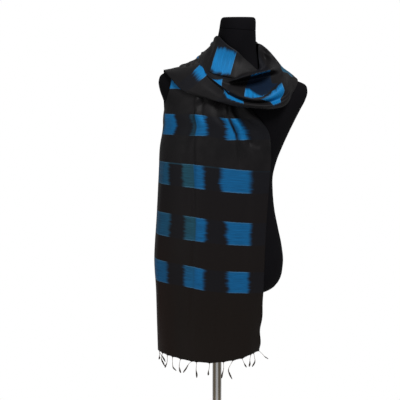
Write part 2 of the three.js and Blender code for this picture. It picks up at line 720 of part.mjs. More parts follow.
const frontSteps = (section) => (section < 6 ? 2 : section < 10 ? 4 : 3);
add(scarfOnForm, "scarf_front_end", stretch(HEM, NAPE_STARTS, 32, frontSteps), SILK);
add(scarfOnForm, "scarf_nape_wrap", stretch(NAPE_STARTS, COWL_STARTS, 20, () => 3), SILK);
const cowlSteps = (section) => (section < COWL_STARTS + 2 ? 3 : 4);
add(scarfOnForm, "scarf_cowl", stretch(COWL_STARTS, TAIL_STARTS, 28, cowlSteps), SILK);
add(scarfOnForm, "scarf_back_end", stretch(TAIL_STARTS, TAIL_HEM, 20, () => 3), SILK);
add(scarfOnForm, "front_fringe", fringe(HEM, FRONT_TASSELS, 32), YARN);
add(scarfOnForm, "back_fringe", fringe(TAIL_HEM, BACK_TASSELS, 20), YARN);

export default scarfOnForm;
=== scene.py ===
import math

import bmesh
import bpy
import numpy as np
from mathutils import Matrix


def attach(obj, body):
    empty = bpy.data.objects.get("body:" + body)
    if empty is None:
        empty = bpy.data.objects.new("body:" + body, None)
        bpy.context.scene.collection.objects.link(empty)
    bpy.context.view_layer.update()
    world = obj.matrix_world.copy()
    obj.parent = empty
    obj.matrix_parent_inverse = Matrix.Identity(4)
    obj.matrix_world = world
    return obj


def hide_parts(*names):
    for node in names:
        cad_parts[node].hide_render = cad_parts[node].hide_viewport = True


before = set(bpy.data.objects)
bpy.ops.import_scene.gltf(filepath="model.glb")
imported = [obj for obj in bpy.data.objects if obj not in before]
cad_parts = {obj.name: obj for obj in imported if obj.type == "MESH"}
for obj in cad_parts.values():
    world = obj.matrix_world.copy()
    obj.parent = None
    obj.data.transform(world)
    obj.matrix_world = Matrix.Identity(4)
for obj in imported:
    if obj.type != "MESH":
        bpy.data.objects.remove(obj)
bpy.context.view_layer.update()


# ---- base plate ----
# A round plate of 8 mm steel, turned and satin lacquered, that keeps the stand upright. It is bevelled
# round its top edge and the pole's boss is screwed to its middle from below.
MM = 0.001


def turned(name, radius, foot, top, edge, segments=96):
    """A turned round piece with its upper and lower edges eased."""
    bpy.ops.object.select_all(action="DESELECT")
    bpy.ops.mesh.primitive_cylinder_add(
        vertices=segments, radius=radius, depth=top - foot, location=(0, 0, (foot + top) / 2)
    )
    piece = bpy.context.object
    piece.name = name
    bpy.ops.object.transform_apply(location=True, rotation=True, scale=True)
    bevel = piece.modifiers.new("eased edges", "BEVEL")
    bevel.width, bevel.segments, bevel.limit_method = edge, 3, "ANGLE"
    bpy.ops.object.modifier_apply(modifier=bevel.name)
    bpy.ops.object.shade_smooth_by_angle(angle=math.radians(35))
    return piece


def new_material(name):
    """A material with its node tree emptied down to one shader."""
    material = bpy.data.materials.new(name)
    material.use_nodes = True
    return material, material.node_tree, material.node_tree.nodes["Principled BSDF"]


def plug(tree, made, inputs):
    """Links or sets the inputs of a node."""
    for key, value in inputs.items():
        if isinstance(value, bpy.types.NodeSocket):
            tree.links.new(value, made.inputs[key])
        else:
            made.inputs[key].default_value = value


def node(tree, kind, inputs=None, **settings):
    """A node with its settings and its inputs."""
    made = tree.nodes.new(kind)
    for key, value in settings.items():
        setattr(made, key, value)
    plug(tree, made, inputs or {})
    return made


def calc(tree, operation, a, b=0.0, c=0.0):
    """The result of a sum on up to three values."""
    return node(tree, "ShaderNodeMath", operation=operation, inputs={0: a, 1: b, 2: c}).outputs[0]


def spread(tree, value, low, high, to_low=0.0, to_high=1.0, **settings):
    """A value's run from low to high carried over to another run, and held at its ends."""
    return node(tree, "ShaderNodeMapRange", inputs={
        "Value": value, "From Min": low, "From Max": high, "To Min": to_low, "To Max": to_high,
    }, **settings).outputs[0]


def mix(tree, share, low, high):
    """One colour passing into another."""
    low, high = ((*colour, 1) if isinstance(colour, tuple) else colour for colour in (low, high))
    return node(tree, "ShaderNodeMix", data_type="RGBA", inputs={"Factor": share, 6: low, 7: high}).outputs[2]


def bump(tree, height, strength, depth, **under):
    """The slope of a bumped face, laid over another bump's where one is given."""
    return node(tree, "ShaderNodeBump", inputs={
        "Height": height, "Strength": strength, "Distance": depth, **under,
    }).outputs["Normal"]


def brushed_steel(name, tone, roughness, grain, depth, bands=None):
    """Steel with turning or drawing marks: the grain is how finely they lie along each axis. Where bands are
    given, dark bands of painted reflection run round the piece by its turn about the upright axis.
    """
    material, tree, shader = new_material(name)
    place = node(tree, "ShaderNodeTexCoord").outputs["Object"]
    stretched = node(tree, "ShaderNodeMapping", inputs={"Vector": place, "Scale": grain}).outputs["Vector"]
    marks = node(tree, "ShaderNodeTexNoise", inputs={
        "Vector": stretched, "Scale": 1.0, "Detail": 4.0,
    }).outputs["Fac"]
    tint = spread(tree, marks, 0.3, 0.7, 0.9, 1.0)
    colour = node(tree, "ShaderNodeVectorMath", operation="SCALE", inputs={
        0: tone, "Scale": tint,
    }).outputs["Vector"]
    # painted reflection: the colour passes into the dark band colour in bands round the upright axis
    if bands:
        parts = node(tree, "ShaderNodeSeparateXYZ", inputs={"Vector": place}).outputs
        around = calc(tree, "ARCTAN2", parts["Y"], parts["X"])
        wave = calc(tree, "COSINE", calc(tree, "MULTIPLY_ADD", around, 5.0, 8.0))
        painted_reflection_share = spread(tree, calc(tree, "MULTIPLY_ADD", marks, 0.5, wave), 0.1, 1.1)
        colour = mix(tree, painted_reflection_share, bands, colour)
    plug(tree, shader, {
        "Metallic": 1.0, "Base Color": colour, "Normal": bump(tree, marks, 0.3, depth),
        "Roughness": spread(tree, marks, 0.3, 0.7, roughness * 0.8, roughness * 1.3),
    })
    return material


PLATE_TOP = 8 * MM
plate = turned("base_plate_steel", 160 * MM, 0, PLATE_TOP, 1.5 * MM, 160)
plate.data.materials.append(brushed_steel("satin_steel", (0.60, 0.59, 0.57), 0.38, (500, 500, 90), 0.0001))
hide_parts("base_plate")
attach(plate, "root")

# ---- pole boss ----
# A short turned steel boss, bolted through the plate. The pole drops into it and a small grub screw in
# its side holds the pole.
TOUCH = 0.3 * MM
BOSS_TOP = 30 * MM
boss = turned("pole_boss_steel", 24 * MM, PLATE_TOP + TOUCH, BOSS_TOP, 2.5 * MM)
boss.data.materials.append(bpy.data.materials["satin_steel"])
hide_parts("pole_boss")
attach(boss, "root")

# ---- pole ----
# A chromed steel tube, 24 mm across. It drops into the boss, where it is cut square, and pushes up into the
# form's socket, where it is cut to the form's slight lean.
LEAN = math.radians(4.2)
FOOT = 783 * MM
SOCKET_HEIGHT = 30 * MM
pole_top = FOOT - SOCKET_HEIGHT / math.cos(LEAN) - TOUCH
pole = turned("pole_chrome", 12 * MM, BOSS_TOP + TOUCH, pole_top, 0.4 * MM, 64)
for point in pole.data.vertices:
    if point.co.z > pole_top / 2:
        point.co.z -= point.co.x * math.tan(LEAN)
# the chrome's colour holds dark brown bands of painted reflection round the tube
pole.data.materials.append(brushed_steel(
    "chromed_tube", (0.95, 0.95, 0.95), 0.16, (160, 160, 3), 0.00003, bands=(0.26, 0.22, 0.16),
))
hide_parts("pole")
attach(pole, "root")

# ---- form socket ----
# A turned steel collar, chromed like the pole and fixed to the underside of the form. The pole pushes up
# into it, and it leans with the form.
socket = turned("form_socket_chrome", 21 * MM, -SOCKET_HEIGHT, -TOUCH, 1.6 * MM)
socket.rotation_euler = (0, LEAN, 0)
socket.location = (0, 0, FOOT)
bpy.ops.object.transform_apply(location=True, rotation=True, scale=True)
# the socket's chrome carries the same bands of painted reflection
socket.data.materials.append(bpy.data.materials["chromed_tube"])
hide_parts("form_socket")
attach(socket, "root")

# ---- dress form ----
# A hollow moulded torso with no arms or head, covered in stretched matt black jersey. Each row is a level of
# it: the height above its foot, half its width, and its reach forward and back, in millimetres.
NECK_SEAM = 685
FORM_TOP = 716
SQUARENESS = 2.2
FORM_LEVELS = [
  (0, 88, 55, 64), (10, 124, 75, 85), (24, 147, 89, 99), (38, 158, 96, 106), (62, 166, 102, 112),
  (92, 167, 104, 115), (134, 160, 100, 108), (179, 147, 91, 96), (233, 132, 82, 82), (273, 125, 78, 74),
  (314, 121, 77, 70), (355, 127, 82, 70), (395, 139, 92, 74), (437, 154, 104, 79), (465, 165, 106, 83),
  (494, 177, 101, 86), (520, 188, 92, 88), (538, 192, 84, 88), (551, 190, 77, 86), (559, 184, 71, 83),
  (563, 175, 67, 81), (567, 161, 63, 79), (571, 145, 60, 77), (576, 126, 58, 75), (580, 109, 56, 73),
  (585, 91, 54, 71), (593, 77, 53, 68), (604, 66, 53, 65), (620, 57, 54, 61), (640, 51, 57, 55),
  (662, 49, 60, 49), (NECK_SEAM, 46.5, 62, 44), (FORM_TOP, 44.5, 61, 40),
]
level_heights, half_widths, fronts, backs = np.array(FORM_LEVELS, float).T


def smooth_rows(values):
    """Slopes of a curve through the rows that never swings past them."""
    pace = np.diff(values) / np.diff(level_heights)
    before, after = pace[:-1], pace[1:]
    total = np.where(before + after == 0, 1, before + after)
    middle = np.where(before * after <= 0, 0, 2 * before * after / total)
    return np.concatenate([pace[:1], middle, pace[-1:]])


level_values = {"half": half_widths, "front": fronts, "back": backs}
level_slopes = {name: smooth_rows(values) for name, values in level_values.items()}


def form_level(name, height):
    """The form's half width or its reach at heights above its foot, in millimetres."""
    h = np.clip(height, 0, FORM_TOP)
    k = np.clip(np.searchsorted(level_heights, h), 1, len(level_heights) - 1)
    rise = level_heights[k] - level_heights[k - 1]
    f = (h - level_heights[k - 1]) / rise
    low, high = level_values[name][k - 1], level_values[name][k]
    start, end = level_slopes[name][k - 1] * rise, level_slopes[name][k] * rise
    bend = low + start * f + (3 * (high - low) - 2 * start - end) * f * f
    return bend + (start + end - 2 * (high - low)) * f**3


def shape_ring(mesh, height, inset=0.0, tilt=0.0):
    """Moves the selected ring of a unit circle's points to the form's oval at one height."""
    half, front, back = (float(form_level(n, height)) - inset for n in ("half", "front", "back"))
    for point in mesh.verts:
        if point.select:
            turn = math.atan2(point.co.y, point.co.x)
            across = math.copysign(abs(math.cos(turn)) ** (2 / SQUARENESS), math.cos(turn))
            along = math.copysign(abs(math.sin(turn)) ** (2 / SQUARENESS), math.sin(turn))
            point.co.x = across * half * MM
            point.co.y = along * (front if along < 0 else back) * MM
            point.co.z = height * MM + point.co.x * tilt


def oval_body(name, rings, segments=120):
    """A closed body drawn up ring by ring: each ring is a height, an inset and a tilt of its level."""
    bpy.ops.object.select_all(action="DESELECT")
    bpy.ops.mesh.primitive_circle_add(vertices=segments, radius=0.1, fill_type="NGON")
    piece = bpy.context.object
    piece.name = name
    bpy.ops.object.mode_set(mode="EDIT")
    bpy.ops.mesh.select_all(action="SELECT")
    turns = [2 * math.pi * (k + 0.5) / segments for k in range(segments)]
    mesh = bmesh.from_edit_mesh(piece.data)
    for k, ring in enumerate(rings):
        if k:
            bpy.ops.mesh.extrude_region_move(TRANSFORM_OT_translate={"value": (0, 0, 0.001)})
            mesh = bmesh.from_edit_mesh(piece.data)
        ordered = sorted((p for p in mesh.verts if p.select), key=lambda p: math.atan2(p.co.y, p.co.x))
        for point, turn in zip(ordered, turns):
            point.co.x, point.co.y = math.cos(turn - math.pi), math.sin(turn - math.pi)
        shape_ring(mesh, *ring)
        bmesh.update_edit_mesh(piece.data)
    bpy.ops.mesh.select_all(action="SELECT")
    bpy.ops.mesh.normals_make_consistent(inside=False)
    bpy.ops.object.mode_set(mode="OBJECT")
    bpy.ops.object.shade_smooth_by_angle(angle=math.radians(50))
    piece.rotation_euler = (0, LEAN, 0)
    piece.location = (0, 0, FOOT)
    bpy.ops.object.transform_apply(location=True, rotation=True, scale=True)
    return piece


heights = np.unique(np.concatenate([
    np.linspace(0, 28, 8), np.linspace(28, 500, 42), np.linspace(500, 600, 40), np.linspace(600, NECK_SEAM, 12),
]))
form = oval_body("dress_form_jersey", [(float(h), 0.0, 0.0) for h in heights])


def jersey_material():
    """Matt black knitted jersey: fine ribs of stitches, a little lint, and a soft lighter nap."""
    material, tree, shader = new_material("black_jersey")
    place = node(tree, "ShaderNodeTexCoord").outputs["Object"]
    parts = node(tree, "ShaderNodeSeparateXYZ", inputs={"Vector": place}).outputs
    ribs = calc(tree, "SINE", calc(tree, "MULTIPLY", parts["X"], 5200.0))
    courses = calc(tree, "SINE", calc(tree, "MULTIPLY", parts["Z"], 4300.0))
    knit = bump(tree, calc(tree, "MULTIPLY", ribs, courses), 0.35, 0.0002)
    nap, lint = (
        node(tree, "ShaderNodeTexNoise", inputs={"Vector": place, "Scale": scale, "Detail": detail}).outputs["Fac"]
        for scale, detail in ((26.0, 5.0), (900.0, 2.0))
    )
    plug(tree, shader, {
        "Base Color": mix(tree, nap, (0.0026, 0.0025, 0.0034), (0.0046, 0.0042, 0.0052)),
        "Roughness": spread(tree, nap, 0.0, 1.0, 0.8, 0.95),
        "Normal": bump(tree, lint, 0.15, 0.0002, Normal=knit),
        "Specular IOR Level": 0.05,
    })
    return material


form.data.materials.append(jersey_material())
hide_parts("dress_form")
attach(form, "root")

# ---- neck cap ----
# A padded disc that closes the neck, covered in the same jersey as the form. Its rim is rounded and its top
# is set level.
CAP_FOOT = NECK_SEAM + TOUCH / MM
CAP_EDGE = (
  (0, 0.9), (0.03, 0.2), (0.08, 0), (0.5, 0), (0.66, 0.2), (0.78, 0.7), (0.88, 1.6), (0.95, 3.2), (1, 6),
  (1, 12), (1, 26),
)
cap = oval_body("neck_cap_jersey", [
    (CAP_FOOT + up * (FORM_TOP - CAP_FOOT), inset, math.tan(LEAN) * up) for up, inset in CAP_EDGE
])
cap.data.materials.append(bpy.data.materials["black_jersey"])
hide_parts("neck_cap")
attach(cap, "root")

# ---- scarf ----
# One length of silk, 400 mm by 1960 mm, with selvedges down both sides and ikat blocks tied and dyed into
# its weft. It is worn once round the neck: an end in front, the nape, a cowl over the chest, an end behind.

# Eleven lines run the cloth's whole length, named for the folds that they make in the cowl, and sections
# cross them. The shell is a smooth net of both, in millimetres, held clear of the form.
LINES = [
  "neckline", "yoke", "brow", "shelf", "lip", "pocket", "roll", "crease", "swag", "brim", "selvedge",
]
CLOTH_WIDTH = 400
CLOTH_THICKNESS = 0.7
RIDGE = 4
FRONT_LEVELS = [
  dict(level=629, drop=-6, middle=-14, half=144, reach=124, inner=109),
  dict(level=704, drop=0, middle=-8, half=152, reach=116, inner=113),
  dict(level=786, drop=8, middle=-1, half=161, reach=116, inner=117),
  dict(level=866, drop=16, middle=3, half=169, reach=116, inner=119),
  dict(level=976, drop=23, middle=5, half=164, reach=114, inner=123),
  dict(level=1086, drop=26, middle=8, half=161, reach=114, inner=130),
  dict(level=1160, drop=22, middle=12, half=161, reach=115, inner=134),
  dict(level=1214, drop=14, middle=16, half=158, reach=116, inner=126, spread=0.86),
  dict(level=1258, drop=8, middle=15, half=154, reach=118, inner=93, spread=0.7),
]
# How far each of these sections keeps off the form, and where it crosses each of LINES in turn: across, up
# and out from the form where gathered, across, back and up on the chest and cowl, across and up on a shoulder.
GATHERED = [
  dict(gap=3, lines=((63, 1291, 8), (50, 1294, 9), (36, 1296, 7), (21, 1298, 8), (4, 1299, 6), (-14, 1300, 7),
    (-33, 1301, 8), (-54, 1302, 9), (-78, 1302, 7), (-103, 1302, 6), (-127, 1301, 6))),
  dict(gap=3, lines=((40, 1332, 5), (29, 1333, 5), (17, 1334, 5), (4, 1335, 5), (-10, 1336, 5), (-25, 1336, 5),
    (-42, 1336, 5), (-60, 1336, 5), (-79, 1335, 5), (-99, 1334, 5), (-119, 1332, 5))),
]
ON_CHEST = [
  dict(gap=3, lines=((18, -55, 1384), (8, -53, 1380), (-3, -52, 1376), (-15, -52, 1373), (-28, -52, 1370),
    (-41, -52, 1367), (-55, -51, 1364), (-70, -50, 1361), (-85, -49, 1358), (-101, -48, 1355),
    (-118, -46, 1350))),
  dict(gap=3, lines=((-4, -32, 1410), (-10, -30, 1402), (-17, -28, 1394), (-26, -27, 1387), (-36, -26, 1381),
    (-47, -25, 1377), (-58, -24, 1374), (-71, -24, 1370), (-82, -24, 1367), (-94, -23, 1364),
    (-107, -22, 1361))),
]
UNDER_SHOULDER = dict(gap=3, lines=((-8, 1424), (-14, 1412), (-21, 1402), (-29, 1393), (-38, 1386),
  (-47, 1381), (-57, 1377), (-67, 1374), (-77, 1371), (-87, 1368), (-97, 1366)))
NAPE = [
  dict(gap=4.5, inner=(3, 38, 1431), outer=(-76, 74, 1346), facing=-40, bow=4, pleat=2),
  dict(gap=5, inner=(48, 63, 1437), outer=(40, 97, 1326), facing=0, bow=-3, pleat=6),
  dict(gap=6, inner=(88, 42, 1434), outer=(162, 70, 1332), facing=45, bow=0, pleat=6),
]
LEFT_SHOULDER = dict(gap=6, lines=((102, 1430), (108, 1430), (118, 1424), (132, 1411), (150, 1389),
  (163, 1374), (174, 1365), (182, 1360), (188, 1355), (194, 1350), (199, 1343)))
COWL = [
  dict(gap=6, lines=((103, -12, 1416), (110, -5, 1416), (121, -1, 1408), (137, -8, 1398), (153, -16, 1381),
    (163, -32, 1363), (173, -52, 1349), (180, -54, 1336), (186, -58, 1329), (190, -58, 1322),
    (194, -56, 1318))),
  dict(gap=6, lines=((103, -26, 1400), (110, -14, 1398), (122, -6, 1389), (137, -28, 1383), (149, -48, 1371),
    (154, -50, 1352), (162, -104, 1331), (169, -103, 1307), (172, -116, 1298), (170, -104, 1283),
    (162, -83, 1282))),
  dict(gap=5, lines=((104, -47, 1375), (110, -54, 1373), (118, -55, 1370), (122, -84, 1367), (125, -110, 1366),
    (129, -68, 1350), (130, -133, 1308), (132, -125, 1290), (132, -141, 1282), (133, -126, 1272),
    (128, -101, 1278))),
  dict(gap=5, lines=((99, -55, 1366), (96, -62, 1363), (95, -71, 1362), (94, -100, 1360), (95, -126, 1359),
    (99, -80, 1344), (92, -144, 1300), (92, -134, 1289), (91, -150, 1282), (92, -136, 1274), (88, -112, 1278))),
  dict(gap=6, lines=((84, -55, 1379), (75, -66, 1368), (67, -79, 1357), (66, -102, 1355), (68, -124, 1352),
    (71, -84, 1338), (60, -139, 1305), (55, -130, 1295), (50, -146, 1288), (46, -138, 1278), (41, -117, 1283))),
  dict(gap=8, lines=((64, -60, 1396), (55, -69, 1376), (45, -87, 1352), (43, -92, 1346), (41, -110, 1343),
    (43, -88, 1335), (36, -123, 1314), (31, -118, 1304), (21, -134, 1297), (11, -130, 1288), (2, -116, 1290))),
  dict(gap=9, lines=((45, -65, 1414), (37, -68, 1385), (28, -85, 1354), (26, -83, 1346), (23, -91, 1341),
    (19, -93, 1332), (16, -109, 1322), (14, -104, 1315), (1, -121, 1304), (-16, -118, 1296),
    (-28, -109, 1296))),
  dict(gap=9, lines=((12, -53, 1434), (-7, -54, 1398), (-20, -71, 1366), (-23, -71, 1361), (-24, -73, 1358),
    (-25, -74, 1356), (-27, -79, 1353), (-30, -77, 1350), (-48, -92, 1338), (-70, -94, 1322),
    (-88, -86, 1315))),
  dict(gap=9, edge=8, lines=((-5, -31, 1441), (-13, -29, 1417), (-25, -37, 1394), (-29, -41, 1389),
    (-32, -42, 1385), (-34, -43, 1382), (-37, -45, 1378), (-44, -47, 1375), (-67, -52, 1367), (-94, -57, 1357),
    (-120, -53, 1346))),
]
RIGHT_SHOULDER = dict(gap=9, edge=6, lines=((-9, 1442), (-15, 1431), (-25, 1418), (-31, 1411), (-36, 1405),
  (-41, 1399), (-46, 1393), (-54, 1385), (-79, 1377), (-106, 1370), (-132, 1361)))
TAIL = [
  dict(gap=12, inner=(-1, 70, 1413), outer=(-136, 52, 1348), facing=-10, bow=22, pleat=3),
  dict(gap=14, inner=(20, 110, 1332), outer=(-130, 84, 1294), facing=-5, bow=18, pleat=7),
  dict(gap=11, inner=(46, 104, 1246), outer=(-128, 92, 1216), facing=0, bow=8, pleat=14),
  dict(gap=11, inner=(66, 94, 1140), outer=(-128, 96, 1122), facing=0, bow=4, pleat=20),
  dict(gap=11, inner=(80, 92, 1010), outer=(-134, 94, 994), facing=0, bow=4, pleat=24),
]


# Tassels at the front hem: where across the cloth each root is, then its elbow and its tip, across and up
# from the root in millimetres.
FRONT_TASSELS = [
  dict(at=0.005, elbow=(14, -13), tip=(23, -20)), dict(at=0.059, elbow=(5, -18), tip=(-3, -34)),
  dict(at=0.085, elbow=(-2, -17), tip=(-3, -30)), dict(at=0.153, elbow=(4, -12), tip=(11, -22)),
  dict(at=0.218, elbow=(-13, -21), tip=(-2, -47)), dict(at=0.281, elbow=(-1, -22), tip=(-6, -40)),
  dict(at=0.372, elbow=(-2, -20), tip=(-4, -30)), dict(at=0.458, elbow=(0, -20), tip=(1, -39)),
  dict(at=0.49, elbow=(-8, -8), tip=(-20, -28)), dict(at=0.568, elbow=(-4, -21), tip=(1, -35)),
  dict(at=0.632, elbow=(-1, -24), tip=(9, -35)), dict(at=0.68, elbow=(-2, -21), tip=(-7, -31)),
  dict(at=0.742, elbow=(-3, -13), tip=(5, -33)), dict(at=0.80, elbow=(1, -13), tip=(-1, -21)),
  dict(at=0.87, elbow=(8, -14), tip=(19, -33)),
]
# How far the front hem hangs above its level, line by line.
HEM = ((0, 7), (0.7, 5.6), (1, 3.6), (1.5, -0.7), (2.5, -3), (3.5, -5), (4, -4), (5, -1), (6, 3), (7, 4), (8, 2.7),
  (8.6, -1), (9.3, 1), (10, 4))
BACK_TASSELS = [
  dict(at=(k + 0.5) / 14, elbow=(3 * math.sin(1.7 * k + 1), -20),
       tip=(7 * math.cos(2.9 * k), -36 - 6 * math.sin(2.3 * k)))
  for k in range(14)
]


def ease(t):
    k = np.clip(t, 0, 1)
    return k * k * (3 - 2 * k)


def to_form(x, z):
    """A place in the room seen from the leaning form."""
    foot = FOOT / MM
    return (
        x * math.cos(LEAN) - (z - foot) * math.sin(LEAN),
        x * math.sin(LEAN) + (z - foot) * math.cos(LEAN),
    )


def form_reach(x, z):
    across, height = to_form(x, z)
    share = min(1.0, abs(across) / float(form_level("half", height)))
    return float(form_level("front", height)) * (1 - share**SQUARENESS) ** (1 / SQUARENESS)


def front_section(row):
    """Places at even steps of cloth along an upright oval, from the inner selvedge round front and side."""
    span, steps = CLOTH_WIDTH * row.get("spread", 1), 400
    turns = [math.asin((row["inner"] - row["middle"]) / row["half"])]
    for _ in range(steps):
        turn = turns[-1]
        pace = math.hypot(row["half"] * math.cos(turn), row["reach"] * math.sin(turn))
        turns.append(turn - span / steps / pace)
    places = []
    for turn in turns[:: steps // (len(LINES) - 1)]:
        x = row["middle"] + row["half"] * math.sin(turn)
        side = float(ease((x - row["middle"]) / (2 * row["half"]) + 0.5))
        places.append((x, -row["reach"] * math.cos(turn), row["level"] + row["drop"] * (0.5 - side)))
    return places


def chest_section(row):
    return [(x, -form_reach(x, z) - out, z) for x, z, out in row["lines"]]


def shoulder_section(row):
    return [(x, RIDGE, z) for x, z in row["lines"]]


def room_section(row):
    return row["lines"]


def pleated_section(row):
    """Places in pleats between two ends; the pleats stand out the way the row faces."""
    turn = math.radians(row["facing"])
    places = []
    for k in range(len(LINES)):
        share = k / (len(LINES) - 1)
        out = row["bow"] * 4 * share * (1 - share)
        if k % 2:
            out += row["pleat"] * (1 - 0.25 * math.cos(1.7 * k))
        x, y, z = (a + (b - a) * share for a, b in zip(row["inner"], row["outer"]))
        places.append((x + math.sin(turn) * out, y + math.cos(turn) * out, z))
    return places


rows_made = [(front_section(row), {"gap": 2.7}) for row in FRONT_LEVELS]
rows_made += [(chest_section(row), row) for row in GATHERED]
rows_made += [(room_section(row), row) for row in ON_CHEST]
rows_made += [(shoulder_section(UNDER_SHOULDER), UNDER_SHOULDER)]
rows_made += [(pleated_section(row), row) for row in NAPE]
rows_made += [(shoulder_section(LEFT_SHOULDER), LEFT_SHOULDER)]
rows_made += [(room_section(row), row) for row in COWL]
rows_made += [(shoulder_section(RIGHT_SHOULDER), RIGHT_SHOULDER)]
rows_made += [(pleated_section(row), row) for row in TAIL]
NET = np.array([places for places, _ in rows_made], float)
NET_GAP = np.array([row["gap"] for _, row in rows_made], float)
NET_EDGE = np.array([row.get("edge", row["gap"]) for _, row in rows_made], float)


def through(points, t):
    """Places at t along smooth curves through the points, one apart."""
    ends = [2 * points[:1] - points[1:2], points, 2 * points[-1:] - points[-2:-1]]
    padded = np.concatenate(ends)
    i = np.clip(np.floor(t).astype(int), 0, len(points) - 2)
    f = (t - i).reshape((-1,) + (1,) * (points.ndim - 1))
    a, b, c, d = (padded[i + k] for k in range(4))
    return 0.5 * (2 * b + (c - a) * f + (2 * a - 5 * b + 4 * c - d) * f**2 + (3 * b - a - 3 * c + d) * f**3)


def net_at(s, t):
    return through(through(NET, t).swapaxes(0, 1), s).swapaxes(0, 1)


def out_of_cloth(places):
    """The way the cloth's face points at each place of a grid."""
    out = np.cross(np.gradient(places, axis=0), np.gradient(places, axis=1))
    return out / np.linalg.norm(out, axis=-1, keepdims=True)


def off_form(p):
    """How far places lie off the form, about, and the way out."""
    def measure(q):
        across, height = to_form(q[..., 0], q[..., 2])
        reach = np.where(q[..., 1] < 0, form_level("front", height), form_level("back", height))
        radius = np.maximum(np.hypot(across, q[..., 1]), 1e-9)
        share = (np.abs(across) / form_level("half", height)) ** SQUARENESS
        share += (np.abs(q[..., 1]) / reach) ** SQUARENESS
        size = np.maximum(share ** (1 / SQUARENESS), 1e-6)
        return radius - radius / size + np.maximum(0, height - FORM_TOP)

    step = 3.0
    sides = [measure(p + step * axis) - measure(p - step * axis) for axis in np.eye(3)]
    slope = np.stack(sides, -1) / (2 * step)
    steep = np.linalg.norm(slope, axis=-1)
    return measure(p) / np.maximum(steep, 0.5), slope / np.maximum(steep, 1e-9)[..., None]


def clear_of_form(p, gap):
    p = p.copy()
    for _ in range(12):
        distance, way = off_form(p)
        short = np.maximum(0, gap - distance)
        if short.max() < 0.001:
            break
        p += way * short[..., None]
    return p


# Main folds, pressed along straight runs over the net: ends (line, section), rise, half width in lines.
FOLDS = {
  "front_pleat": dict(start=(5.1, 3.5), end=(5.9, 9.2), rise=-5, half=0.35),
  "under_ridge": dict(start=(6.4, 8.2), end=(6.6, 10), rise=4, half=0.4),
  "edge_loop": dict(start=(0.4, 7.2), end=(1.1, 9.4), rise=7, half=0.45),
  "edge_trough": dict(start=(1.4, 7.5), end=(2.2, 9.4), rise=-7, half=0.5),
  "inner_ridge": dict(start=(2.4, 6.9), end=(3.1, 9.4), rise=6, half=0.45),
  "inner_trough": dict(start=(3.2, 7), end=(3.9, 9.4), rise=-5, half=0.45),
}
# Finer creases along routes over the net (line, section): rise and half width in millimetres. One darkens the
# cloth in its groove with painted shade, for GROOVE_HALF to each side.
GROOVE_HALF = 3.8
CREASES = {
  "block groove": dict(rise=-6, half=4, shades_groove=1,
       route=((2.8, 9.0), (2.6, 7.9), (2.65, 7.35), (2.55, 6.9), (2.38, 6.4), (2.1, 5.4))),
  "block fold": dict(rise=5, half=6, route=((2.5, 9.2), (2.22, 8.2), (2.22, 7.2), (2.1, 6.5), (1.8, 5.9))),
  "fold's shadow": dict(rise=-6, half=6, route=((1.9, 8.9), (1.75, 8.0), (1.75, 7.2), (1.6, 6.6), (1.3, 6.1))),
  "knuckle ridge": dict(rise=5, half=4, route=((6.95, 9.2), (6.15, 8.5), (5.45, 8.0), (5.4, 7.6))),
  "knuckle side": dict(rise=-4, half=5, route=((6.0, 9.2), (5.5, 8.5), (4.95, 8.0), (4.8, 7.4))),
  "edge roll": dict(rise=5, half=6,
       route=((0.45, 8.1), (0.15, 7.7), (0.12, 7.2), (0.15, 6.8), (0.25, 6.4), (0.5, 6.25))),
  "edge hollow": dict(rise=-4, half=7, route=((0.9, 7.95), (0.75, 7.6), (0.7, 7.1))),
  "low hollow": dict(rise=-2.5, half=8, route=((1.7, 6.68), (1.2, 6.43), (0.8, 6.38))),
  "low ridge": dict(rise=2, half=7, route=((1.6, 6.5), (1.2, 6.3), (0.8, 6.2))),
  "hanging pleat": dict(rise=-3, half=5, route=(
    (6.1, 8.4), (5.6, 7.93), (5.75, 7.25), (5.6, 6.65), (5.1, 5.6), (5.0, 4.7), (4.8, 4.1), (4.7, 3.0),
    (4.8, 2.0), (4.9, 0.6))),
  "side fall": dict(rise=2.5, half=14, route=((7.4, 6.4), (7.5, 4.5), (7.6, 2.5), (7.8, 0.4))),
  "middle fall": dict(rise=2, half=16, route=((3.0, 6.2), (3.1, 4.5), (3.0, 2.5), (3.1, 0.3))),
  "inner fall": dict(rise=-2, half=12, route=((1.4, 5.6), (1.6, 4), (1.7, 2), (1.6, 0.3))),
}
# Gathers, where the full width of cloth is bunched: at a section, so many pleats across, so high in
# millimetres, and shifted by a share of a pleat.
GATHERS = [
  (11.6, 7, 0, 0), (12.4, 7, 7, 0.1), (13.0, 7, 9, 0.2), (14.0, 7, 11, 0.1),
  (15.0, 7, 13, 0), (15.9, 7, 10, 0.15), (16.7, 7, 0, 0.2), (27.7, 6, 0, 0.5),
  (28.6, 6, 14, 0.45), (29.4, 6, 18, 0.55), (30.6, 6, 20, 0.5), (32.0, 6, 18, 0.6),
]


def gathered(S, T):
    """The rise of the gathers at places of the net, always outwards."""
    marks, *runs = zip(*GATHERS)
    pleats, height, shift = (np.interp(T, marks, run) for run in runs)
    uneven = 1 + 0.22 * np.sin(2.1 * S + 0.9 * T)
    return height * uneven * (0.5 - 0.5 * np.cos(2 * np.pi * (pleats * S / 10 + shift + 0.05 * np.sin(1.9 * S))))


def pressed(S, T):
    """The rise of the main folds at places of the net."""
    total = np.zeros_like(S)
    for fold in FOLDS.values():
        (s0, t0), (s1, t1) = fold["start"], fold["end"]
        share = (T - t0) / (t1 - t0)
        off = (S - s0 - (s1 - s0) * share) / fold["half"]
        fade = ease(3 * share) * ease(3 - 3 * share)
        total += np.where((share > 0) & (share < 1), fold["rise"] * fade * np.exp(-off * off), 0)
    return total


